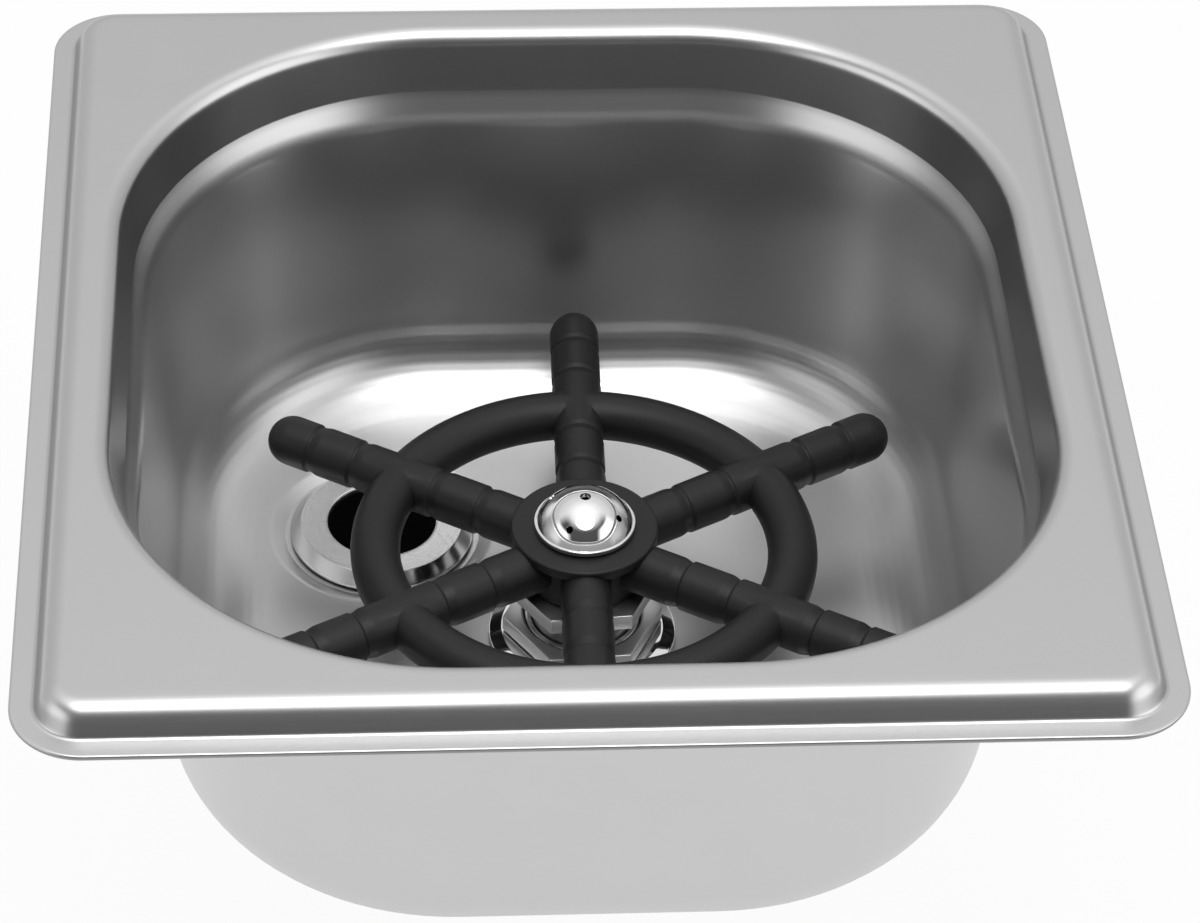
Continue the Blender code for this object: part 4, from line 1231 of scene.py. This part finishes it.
@dataclass
class Valve:
    """The valve body with its washer, seals, bush, seat, filter and spring."""

    tail_radius: float = 10.48
    tail_foot: float = -46.0
    thread_start: float = -3.4
    thread_overlap: float = 0.5
    hex_across: float = 22.0
    hex_foot: float = 1.9
    hex_top: float = 4.6
    hex_turn_deg: float = 4.0
    hex_edge: float = 0.15
    bore: float = 8.16
    bore_bevel: float = 0.3
    pocket: float = 9.4
    pocket_foot: float = -1.4
    ledge_hole: float = 5.2
    ledge_top: float = -26.7
    ledge_foot: float = -28.2
    nut_bore: float = 10.91
    washer_radius: float = 14.85
    washer_top_radius: float = 12.8
    washer_foot: float = 0.3
    washer_top: float = 1.6
    washer_side: float = 0.7
    hollow_radius: float = 13.2
    hollow_depth: float = 0.8
    gasket: FlatRing = FlatRing(nut_bore, 12.9, 0.3, 0.8, 0.1)
    bush_radii: Point2 = (8.17, 9.16)
    bush_foot: float = -1.1
    bush_sunk: float = 0.3
    seat: FlatRing = FlatRing(4.8, 7.9, -30.5, -28.5, 0.25)
    sieve_radius: float = 7.76
    sieve_height: float = 3.4
    sieve_wall: float = 0.6
    sieve_hole: float = 1.1
    sieve_circle: float = 4.3
    spring_radius: float = 6.0
    wire: float = 0.5
    spring_top: float = -13.4
    spring_foot: float = -26.4
    spring_turns: int = 5
    spring_steps: int = 28
    wire_steps: int = 10
    pressed_share: float = 8 / 13

    def body(self) -> Piece:
        """Hexagon, threaded tail and stepped bore.

        Returns:
            The piece.
        """
        levels = (self.hex_foot, self.hex_top)
        item = hexagon("valve_barrel", self.hex_across, *levels, self.hex_turn_deg, self.hex_edge)
        top, foot = self.hex_foot + 1, self.thread_start - self.thread_overlap
        shank = [(0, top), (self.tail_radius, top), (self.tail_radius, foot), (0, foot)]
        carve(item, turned("shank", shank, FINE_STEPS, closed=False), Cut.JOIN)
        tail = Thread(self.tail_radius).solid("tail", self.thread_start, self.tail_foot)
        carve(item, tail, Cut.JOIN)
        over = self.bore_bevel
        bore = [
            (0, self.hex_top + over), (self.pocket + 2 * over, self.hex_top + over),
            (self.pocket, self.hex_top - over), (self.pocket, self.pocket_foot),
            (self.bore, self.pocket_foot), (self.bore, self.ledge_top),
            (self.ledge_hole, self.ledge_top), (self.ledge_hole, self.ledge_foot),
            (self.bore, self.ledge_foot), (self.bore, self.tail_foot + over),
            (self.bore + 2 * over, self.tail_foot - over), (0, self.tail_foot - over),
        ]
        return carve(item, turned("bore", bore, closed=False), Cut.REMOVE)

    def washer(self) -> Piece:
        """The polished washer with its sloping edge and the hollow for its gasket.

        Returns:
            The piece.
        """
        top, foot = self.washer_top, self.washer_foot
        hollow = foot + self.hollow_depth
        corners = [
            (self.washer_top_radius, top, 0.35), (self.washer_radius, foot + self.washer_side, SOFT),
            (self.washer_radius, foot, CRISP), (self.hollow_radius, foot, CRISP),
            (self.hollow_radius, hollow, CRISP), (self.nut_bore, hollow, CRISP), (self.nut_bore, top, EASED),
        ]
        return turned("polished_washer", rounded(corners, 5), FINE_STEPS)

    def bush(self) -> Piece:
        """The guide in the mouth of the body.

        Returns:
            The piece.
        """
        (inner, outer), foot = self.bush_radii, self.bush_foot
        top = self.hex_top - self.bush_sunk
        corners = [(outer, top, EASED), (outer, foot, EASED), (inner, foot, SOFT), (inner, top, SOFT)]
        return turned("bush_liner", rounded(corners, 3))

    def sieve(self) -> Piece:
        """The filter cup, with one hole in its middle and six round it.

        Returns:
            The piece.
        """
        foot, wall, rim = self.tail_foot, self.sieve_wall, self.sieve_radius
        top, inside = foot + self.sieve_height, rim - wall
        corners = [(0, top, 0), (rim, top, 0.5), (rim, foot, NEAT), (inside, foot, NEAT),
                   (inside, top - wall, SOFT), (0, top - wall, 0)]
        section = [(0.0, top), *rounded(corners, 4, closed=False)[1:-1], (0.0, top - wall)]
        item = turned("filter_cup", section, closed=False)
        for i in range(7):
            drill = bar("drill", self.sieve_hole, foot + wall, top + wall, 20)
            turn = 2 * math.pi * i / 6
            if i:
                reach = self.sieve_circle * MM
                drill.location = (reach * math.cos(turn), reach * math.sin(turn), 0)
            carve(item, drill, Cut.REMOVE)
        return item

    def spring(self) -> Piece:
        """The round-wire helix, as a tube round its own line.

        Returns:
            The piece.
        """
        count = self.spring_turns * self.spring_steps + 1
        rise = self.spring_top - self.spring_foot - 2 * self.wire
        rings = []
        for i in range(count):
            angle = 2 * math.pi * i / self.spring_steps
            height = self.spring_foot + self.wire + rise * i / (count - 1)
            ring = []
            for k in range(self.wire_steps):
                around = 2 * math.pi * k / self.wire_steps
                radius = self.spring_radius + self.wire * math.cos(around)
                ring.append((radius * math.cos(angle), radius * math.sin(angle),
                             height + self.wire * math.sin(around)))
            rings.append(ring)
        return lofted("coil_spring", rings)

    def build(self) -> None:
        """Make the valve's fixed pieces, give the spring a mesh of its own, and make the valve's clamp."""
        parts = [
            (self.body(), BRUSHED_CHROME, "valve_body", "chrome"),
            (self.washer(), CHROME, "valve_washer", "chrome"),
            (self.gasket.piece("washer_seal"), RUBBER, "valve_gasket", "rubber"),
            (self.bush(), TURNED_STEEL, "guide_bush", "turned_steel"),
            (self.seat.piece("seat_liner"), ACETAL, "seat_ring", "white_plastic"),
            (self.sieve(), ACETAL, "inlet_filter", "white_plastic"),
            (self.spring(), SPRING_WIRE, "return_spring", "spring_steel"),
        ]
        VALVE_AXIS.carry(Body.BASIN, parts)
        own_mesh(parts[-1][0])
        Clamp("valve", VALVE_AXIS, top=-1.1, bore=self.nut_bore, gasket=(14.0, 1.5), backing=(14.8, 1.5),
              nut_across=30.0, nut_height=7.0, nut_turn_deg=20.0).build()


@dataclass
class Plunger:
    """The sliding plunger with its seals, its disc and the washer the spring pushes on."""

    hex_across: float = 22.0
    hex_foot: float = 10.1
    hex_top: float = 12.8
    hex_turn_deg: float = 4.0
    hex_edge: float = 0.15
    shaft: float = 8.0
    shaft_foot: float = -12.0
    spigot: float = 5.5
    spigot_top: float = 20.0
    stem: float = 4.0
    stem_step: float = -20.0
    tip: float = 3.0
    tip_foot: float = -30.5
    groove: float = 6.5
    groove_width: float = 1.7
    seal_heights: Point2 = (-3.4, -8.8)
    seal_center: float = 7.27
    seal_section: float = 0.62
    waterway: tuple[Point2, ...] = (
        (0, 20.5), (3.9, 20.5), (3.9, 15.0), (2.2, 15.0), (2.2, -19.0), (0, -19.0))
    cross_hole: float = 1.3
    cross_height: float = -16.5
    cross_reach: float = 6.0
    tapping: float = 1.82
    tapped: Point2 = (-32.0, -26.2)
    disc: FlatRing = FlatRing(tapping, 6.9, -32.8, -30.8, 0.2)
    plate: FlatRing = FlatRing(tapping, 5.5, -33.9, -33.1, 0.1)
    thrust: FlatRing = FlatRing(4.35, 7.8, -13.1, -12.3, 0.15)
    screw_radius: float = 1.5
    screw_top: float = -26.5
    screw_head: float = 3.0
    head_top: float = -34.2
    head_foot: float = -36.0
    slot_reach: float = 4.0
    slot_half: float = 0.4
    slot_levels: Point2 = (-37.0, -35.2)

    def side(self) -> Section:
        """The turned side from the spigot's top to the stem's foot.

        Returns:
            Its (radius, height) points.
        """
        inside = self.hex_foot + 1
        corners = [(0, self.spigot_top, 0), (self.spigot, self.spigot_top, SOFT),
                   (self.spigot, inside, CRISP), (self.shaft, inside, CRISP)]
        for height in self.seal_heights:
            top, foot = height + self.groove_width / 2, height - self.groove_width / 2
            corners += [(self.shaft, top, CRISP), (self.groove, top, CRISP), (self.groove, foot, CRISP),
                        (self.shaft, foot, CRISP)]
        corners += [(self.shaft, self.shaft_foot, SOFT), (self.stem, self.shaft_foot, CRISP),
                    (self.stem, self.stem_step, EASED), (self.tip, self.stem_step, CRISP),
                    (self.tip, self.tip_foot, CRISP), (0, self.tip_foot, 0)]
        return rounded(corners, 3, closed=False)

    def body(self) -> Piece:
        """Spigot, hexagon, shaft and stem, with the waterway through them.

        Returns:
            The piece.
        """
        item = turned("plunger_shaft", self.side(), FINE_STEPS, closed=False)
        levels = (self.hex_foot, self.hex_top)
        flats = hexagon("flats", self.hex_across, *levels, self.hex_turn_deg, self.hex_edge)
        carve(item, flats, Cut.JOIN)
        carve(item, turned("waterway", list(self.waterway), 40, closed=False), Cut.REMOVE)
        cross = bar("cross_hole", self.cross_hole, -self.cross_reach, self.cross_reach)
        cross.rotation_euler = (math.pi / 2, 0, 0)
        cross.location = (0, 0, self.cross_height * MM)
        carve(item, cross, Cut.REMOVE)
        return carve(item, bar("tapped_hole", self.tapping, *self.tapped), Cut.REMOVE)

    def seal(self, name: str, height: float) -> Piece:
        """A round rubber ring in its groove."""
        section = arc((self.seal_center, height), self.seal_section, 90, -270, 12)[:-1]
        return turned(name, section, 64)

    def screw(self) -> Piece:
        """The slotted screw that holds the disc.

        Returns:
            The piece.
        """
        corners = [
            (0, self.screw_top, 0), (self.screw_radius, self.screw_top, SOFT),
            (self.screw_radius, self.head_top, CRISP), (self.screw_head, self.head_top, EASED),
            (self.screw_head, self.head_foot, 0.4), (0, self.head_foot, 0),
        ]
        item = turned("slotted_screw", rounded(corners, 4, closed=False), 48, closed=False)
        plan = [(x * self.slot_reach, y * self.slot_half) for x, y in ((-1, -1), (1, -1), (1, 1), (-1, 1))]
        slot = lofted("slot", [[(x, y, z) for x, y in plan] for z in self.slot_levels])
        return carve(item, slot, Cut.REMOVE)

    def build(self) -> None:
        """Make the pieces that move with the head, and the spring's washer."""
        upper, lower = self.seal_heights
        moving = [
            (self.body(), BRUSHED_CHROME, "plunger", "chrome"),
            (self.seal("upper_seal", upper), RUBBER, "plunger_o_ring_upper", "rubber"),
            (self.seal("lower_seal", lower), RUBBER, "plunger_o_ring_lower", "rubber"),
            (self.disc.piece("shut_off_disc"), RUBBER, "valve_disc", "rubber"),
            (self.plate.piece("brass_plate"), BRASS, "disc_washer", "brass"),
            (self.screw(), TURNED_STEEL, "disc_screw", "turned_steel"),
        ]
        slip = [(self.thrust.piece("slip_washer"), ACETAL, "thrust_washer", "white_plastic")]
        VALVE_AXIS.carry(Body.HEAD, moving)
        VALVE_AXIS.carry(Body.PLATE, slip)


# ---------------------------------------------------------------- press head


@dataclass
class PressWheel:
    """The black moulding: hub with its disc, ring and six grooved arms."""

    plane: float = 17.9
    turn_deg: float = -1.0
    hub_foot: float = 13.1
    hub_top: float = 22.5
    hub_radius: float = 9.3
    disc_radius: float = 11.45
    disc_thick: float = 1.7
    bore: float = 5.87
    pocket: float = 7.08
    pocket_foot: float = 21.4
    ring_radius: float = 32.6
    ring_section: float = 3.9
    arms: int = 6
    arm_radius: float = 4.0
    arm_root: float = 7.5
    arm_length: float = 52.9
    grooves: tuple[float, ...] = (48.2, 40.3, 25.9, 17.6)
    groove_depth: float = 0.4
    groove_half: float = 0.75
    groove_flat: float = 0.4
    groove_fade: float = 1.6

    def arm(self, index: int) -> Piece:
        """One round arm with its domed tip and its shallow grooves.

        Args:
            index: Its place in the order of the arms.

        Returns:
            The arm.
        """
        radius, deep = self.arm_radius, self.arm_radius - self.groove_depth
        corners: list[Corner] = [(radius, self.arm_length, 0)]
        for along in self.grooves:
            corners += [(radius, along + self.groove_half, 0.25),
                        (deep, along + self.groove_half * self.groove_flat, SOFT),
                        (radius, along - self.groove_half * self.groove_fade, 2.0)]
        corners.append((radius, self.arm_root, 0))
        tip = arc((0, self.arm_length), radius, 90, 0, 12)[1:]
        side = rounded(corners, 4, closed=False)[1:]
        section = [(0, self.arm_length + radius), *tip, *side, (0, self.arm_root)]
        item = turned(f"arm_{index}", section, 40, closed=False)
        heading = math.pi / 2 + 2 * math.pi * index / self.arms + math.radians(self.turn_deg)
        item.location = (0, 0, self.plane * MM)
        item.rotation_euler = (0, math.pi / 2, heading)
        return item

    def build(self) -> None:
        """Make the moulding."""
        disc_foot = self.hub_top - self.disc_thick
        corners = [
            (self.disc_radius, self.hub_top, 0.45), (self.disc_radius, disc_foot, EASED),
            (self.hub_radius, disc_foot, 0.25), (self.hub_radius, self.hub_foot, SOFT),
            (self.bore, self.hub_foot, EASED), (self.bore, self.pocket_foot, CRISP),
            (self.pocket, self.pocket_foot, CRISP), (self.pocket, self.hub_top, EASED),
        ]
        item = turned("wheel_moulding", rounded(corners, 4), FINE_STEPS)
        rim = arc((self.ring_radius, self.plane), self.ring_section, 90, -270, 28)[:-1]
        carve(item, turned("rim", rim, FINEST_STEPS), Cut.JOIN)
        for index in range(self.arms):
            carve(item, self.arm(index), Cut.JOIN)
        VALVE_AXIS.carry(Body.HEAD, [(item, BLACK_PLASTIC, "press_wheel", "black_plastic")])


@dataclass
class Nozzle:
    """The chromed cap with its spray holes, and the flat seal under it."""

    hub_top: float = 22.5
    rim_foot: float = 22.8
    rim_top: float = 23.6
    rim_radius: float = 7.9
    dome_radius: float = 7.5
    dome_height: float = 4.8
    dome_step: float = 0.1
    wall: float = 0.8
    skirt_radius: float = 3.6
    skirt_length: float = 6.8
    bore: float = 2.4
    hole: float = 0.55
    hole_reach: Point2 = (3.2, 7.9)
    side_holes: int = 4
    hole_turn_deg: float = -27.5
    hole_lean_deg: float = 67.0
    apex_hole: float = 0.85
    apex_reach: float = 6.0
    seal: FlatRing = FlatRing(3.95, 6.7, hub_top - 0.8, hub_top, 0.1)

    def ball(self, radius: float, height: float, steps: int = 24) -> Section:
        """The side of a shallow part of a ball that stands on the rim.

        Args:
            radius: Radius of its base.
            height: Its height.
            steps: Steps from its top to its base.

        Returns:
            Its (radius, height) points, from its top to its base.
        """
        ball = (radius ** 2 + height ** 2) / (2 * height)
        angles = [math.asin(radius / ball) * i / steps for i in range(steps + 1)]
        return [(ball * math.sin(a), self.rim_top + height - ball * (1 - math.cos(a))) for a in angles]

    def cap(self) -> Piece:
        """Dome, rim and skirt, drilled at the top and round the side.

        Returns:
            The piece.
        """
        inside, skirt_foot = self.dome_radius - self.wall, self.rim_foot - self.skirt_length
        outer = self.ball(self.dome_radius, self.dome_height)
        inner = self.ball(inside, self.dome_height - self.wall)
        corners = [
            (self.dome_radius, self.rim_top, 0), (self.dome_radius + self.dome_step, self.rim_top, 0),
            (self.rim_radius, self.rim_top, EASED), (self.rim_radius, self.rim_foot, NEAT),
            (self.skirt_radius, self.rim_foot, CRISP), (self.skirt_radius, skirt_foot, EASED),
            (self.bore, skirt_foot, EASED), (self.bore, self.rim_top, CRISP), (inside, self.rim_top, 0),
        ]
        rim = rounded(corners, 4, closed=False)[1:-1]
        section = [(0, outer[0][1]), *outer[1:], *rim, *inner[:0:-1], (0, inner[0][1])]
        item = turned("spray_cap", section, FINE_STEPS, closed=False)
        apex = bar("apex", self.apex_hole, self.rim_top, self.rim_top + self.apex_reach)
        carve(item, apex, Cut.REMOVE)
        for i in range(self.side_holes):
            drill = bar("drill", self.hole, *self.hole_reach)
            drill.location = (0, 0, self.rim_top * MM)
            turn = math.radians(self.hole_turn_deg + 90 * i)
            drill.rotation_euler = (0, math.radians(self.hole_lean_deg), turn)
            carve(item, drill, Cut.REMOVE)
        return item

    def build(self) -> None:
        """Make the seal and the cap."""
        seal = self.seal.piece("cap_seal")
        VALVE_AXIS.carry(Body.HEAD, [
            (self.cap(), CHROME, "nozzle_cap", "chrome"),
            (seal, RUBBER, "nozzle_gasket", "rubber"),
        ])


# ---------------------------------------------------------------- drain


@dataclass
class Drain:
    """The drain's flange, bore and threaded tail, its gaskets and its nut."""

    bore: float = 8.75
    flat_radius: float = 13.1
    flange_radius: float = 14.9
    flange_foot: float = 0.3
    flange_top: float = 1.8
    chamfer_drop: float = 1.85
    lip_foot: float = -0.55
    lip_inside: float = 14.6
    tail_radius: float = 13.22
    tail_foot: float = -36.0
    thread_start: float = -4.8
    thread_overlap: float = 0.5
    nut_bore: float = 13.68
    seal: FlatRing = FlatRing(nut_bore, 14.4, -0.6, 0.0, 0.1)

    def body(self) -> Piece:
        """Flange and tail in one turned piece, threaded outside.

        Returns:
            The piece.
        """
        foot = self.thread_start - self.thread_overlap
        corners = [
            (self.bore, self.flange_top, 0.35), (self.flat_radius, self.flange_top, NEAT),
            (self.flange_radius, self.flange_top - self.chamfer_drop, NEAT),
            (self.flange_radius, self.lip_foot, NEAT), (self.lip_inside, self.lip_foot, NEAT),
            (self.lip_inside, self.flange_foot, CRISP), (self.tail_radius, self.flange_foot, CRISP),
            (self.tail_radius, foot, 0.0), (self.bore, foot, 0.0),
        ]
        item = turned("drain_fitting", rounded(corners, 4), FINEST_STEPS)
        tail = Thread(self.tail_radius).solid("tail", self.thread_start, self.tail_foot)
        levels = (self.tail_foot - 1, self.thread_start + 1)
        carve(tail, bar("tail_bore", self.bore, *levels, FINEST_STEPS), Cut.REMOVE)
        return carve(item, tail, Cut.JOIN)

    def build(self) -> None:
        """Make the seal, the fitting and its clamp."""
        seal = self.seal.piece("drain_seal")
        DRAIN_AXIS.carry(Body.BASIN, [
            (self.body(), DRAIN_STEEL, "drain_body", "turned_steel"),
            (seal, RUBBER, "drain_gasket", "rubber"),
        ])
        Clamp("drain", DRAIN_AXIS, top=-2.0, bore=self.nut_bore, gasket=(18.0, 2.0), backing=(18.4, 1.5),
              nut_across=36.0, nut_height=8.0, nut_turn_deg=8.0).build()


# ---------------------------------------------------------------- camera and studio


@dataclass(frozen=True)
class Viewpoint:
    """The camera: its place in millimetres, the three ways of its picture and its focal length in pixels."""

    place: Point3 = (-33.305, -527.803, 421.130)
    right: Point3 = (0.99839718, -0.0520151, 0.02230455)
    down: Point3 = (-0.01639201, -0.64297765, -0.76570951)
    ahead: Point3 = (0.05416978, 0.76411659, -0.64279971)
    focal: float = 4503.49
    picture_width: float = 1200.0
    sensor_width: float = 36.0
    clip: Point2 = (0.05, 20.0)

    def build(self) -> None:
        """Make the scene's camera."""
        data = bpy.data.cameras.new("camera")
        data.sensor_width = self.sensor_width
        data.sensor_fit = "HORIZONTAL"
        data.lens = self.focal / self.picture_width * data.sensor_width
        data.clip_start, data.clip_end = self.clip
        camera = bpy.data.objects.new("camera", data)
        columns = (Vector(self.right), -Vector(self.down), -Vector(self.ahead), Vector(self.place) * MM)
        camera.matrix_world = Matrix([[c[i] for c in columns] for i in range(3)] + [[0, 0, 0, 1]])
        bpy.context.scene.collection.objects.link(camera)
        bpy.context.scene.camera = camera


@dataclass(frozen=True)
class Softbox:
    """A round soft lamp: where it hangs and aims in metres, its width and how bright its face is."""

    name: str
    place: Point3
    aim: Point3
    width: float
    radiance: float

    def build(self) -> None:
        """Hang the lamp."""
        data = bpy.data.lights.new(self.name, "AREA")
        data.shape = "DISK"
        data.size = self.width
        data.energy = self.radiance * math.pi * math.pi * self.width ** 2 / 4
        lamp = bpy.data.objects.new(self.name, data)
        lamp.location = self.place
        lamp.rotation_euler = (Vector(self.aim) - Vector(self.place)).to_track_quat("-Z", "Y").to_euler()
        bpy.context.scene.collection.objects.link(lamp)


@dataclass(frozen=True)
class Window:
    """A bright window at one side of the sky: its side, where it fades in and out, and its tone."""

    side: float
    across: Point2
    top: float
    fade: float
    tone: float

    def glow(self, x: Value, z: Value) -> Value:
        """Its brightness in a direction of the sky."""
        height = z.band(self.top, self.top + self.fade)
        return (x * self.side).band(*self.across) * (1.0 - height) * self.tone


@dataclass
class Studio:
    """Pale floor, even sky with two windows, and soft lamps.

    The reaches and the floor's height are in metres, the sky's stops are (height, tone) pairs.
    """

    floor_height: float = -0.1053
    floor_reach: float = 3.0
    floor_color: tuple[float, ...] = (0.8, 0.8, 0.8, 1.0)
    bright_reach: float = 0.25
    dark_reach: float = 0.60
    glossy_share: float = 0.85
    camera_share: float = 0.94
    back_stops: tuple[Point2, ...] = (
        (-1.0, 0.45), (0.0, 0.62), (0.55, 0.68), (0.64, 0.80), (0.77, 0.88), (0.87, 1.05), (1.0, 1.4))
    front_stops: tuple[Point2, ...] = (
        (-1.0, 0.25), (0.0, 0.14), (0.35, 0.08), (0.77, 0.1), (0.83, 0.35), (0.9, 1.0), (1.0, 1.4))
    behind_band: Point2 = (-0.2, 0.25)
    right: Window = Window(1.0, (0.40, 0.62), 0.70, 0.08, 1.6)
    left: Window = Window(-1.0, (0.50, 0.70), 0.56, 0.10, 1.3)
    lamps: tuple[Softbox, ...] = (Softbox("top_dish", (0.0, -0.25, 0.86), (0.0, 0.0, -0.03), 0.66, 2.9),)

    def floor(self) -> None:
        """The floor: white to the camera, pale to the metal near the object, with its shadow kept."""
        shell = Shell()
        reach, height = self.floor_reach / MM, self.floor_height / MM
        corners = [(-reach, -reach), (reach, -reach), (reach, reach), (-reach, reach)]
        shell.lid(shell.ring([(x, y, height) for x, y in corners]))
        item = shell.object("floor")
        material = bpy.data.materials.new("studio_floor")
        nodes = Nodes(material)
        path = nodes.node("ShaderNodeLightPath", {}, {})
        kinds = ("Is Camera Ray", "Is Glossy Ray", "Is Transmission Ray")
        seen, mirrored, through = (Value(nodes, path.outputs[kind]) for kind in kinds)
        place = nodes.value("ShaderNodeTexCoord", {}, {}, "Object")
        distance = nodes.value("ShaderNodeVectorMath", {"operation": "LENGTH"}, {0: place}, "Value")
        near = 1.0 - distance.band(self.bright_reach, self.dark_reach)
        share = seen * self.camera_share + (mirrored * near + through) * self.glossy_share
        matt = nodes.node("ShaderNodeBsdfDiffuse", {}, {"Color": self.floor_color})
        white = nodes.node("ShaderNodeEmission", {}, {"Color": WHITE, "Strength": 1.0})
        both = nodes.node("ShaderNodeMixShader", {}, {0: share, 1: matt.outputs[0], 2: white.outputs[0]})
        nodes.node("ShaderNodeOutputMaterial", {}, {"Surface": both.outputs[0]})
        item.data.materials.append(material)

    @staticmethod
    def ramp(nodes: Nodes, rise: Value, stops: tuple[Point2, ...]) -> Value:
        """The sky's tone by a height between 0 and 1, from its stops between -1 and 1."""
        settings = {"stops": [(height * 0.5 + 0.5, tone) for height, tone in stops]}
        return nodes.value("ShaderNodeValToRGB", settings, {0: rise})

    def sky(self) -> None:
        """The world: white to the camera; for the light, dim at the front, with a window on either side."""
        world = bpy.data.worlds.new("studio")
        bpy.context.scene.world = world
        nodes = Nodes(world)
        x, y, z = nodes.parts(nodes.value("ShaderNodeTexCoord", {}, {}, "Generated"))
        rise = z * 0.5 + 0.5
        front, back = (self.ramp(nodes, rise, stops) for stops in (self.front_stops, self.back_stops))
        behind = y.band(*self.behind_band)
        windows = self.right.glow(x, z) + self.left.glow(x, z)
        tone = front + (back - front) * behind + windows * (1.0 - behind)
        light = nodes.node("ShaderNodeBackground", {}, {"Color": tone, "Strength": 1.0})
        white = nodes.node("ShaderNodeBackground", {}, {"Color": WHITE, "Strength": 1.0})
        path = nodes.node("ShaderNodeLightPath", {}, {})
        sockets = {0: path.outputs["Is Camera Ray"], 1: light.outputs[0], 2: white.outputs[0]}
        both = nodes.node("ShaderNodeMixShader", {}, sockets)
        nodes.node("ShaderNodeOutputWorld", {}, {"Surface": both.outputs[0]})

    def build(self) -> None:
        """Set the studio up."""
        bpy.context.scene.view_settings.view_transform = "Standard"
        self.floor()
        self.sky()
        for lamp in self.lamps:
            lamp.build()


def main() -> None:
    """Build the dressed object, the camera and the studio."""
    logging.basicConfig(level=logging.INFO, format="%(name)s: %(message)s")
    for item in list(bpy.data.objects):
        bpy.data.objects.remove(item, do_unlink=True)
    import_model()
    builders: Sequence[Callable[[], None]] = (
        Viewpoint().build, Studio().build, Basin().build, Valve().build, Plunger().build,
        PressWheel().build, Nozzle().build, Drain().build,
    )
    for build in builders:
        build()
    bpy.context.view_layer.update()


if __name__ == "__main__":
    main()
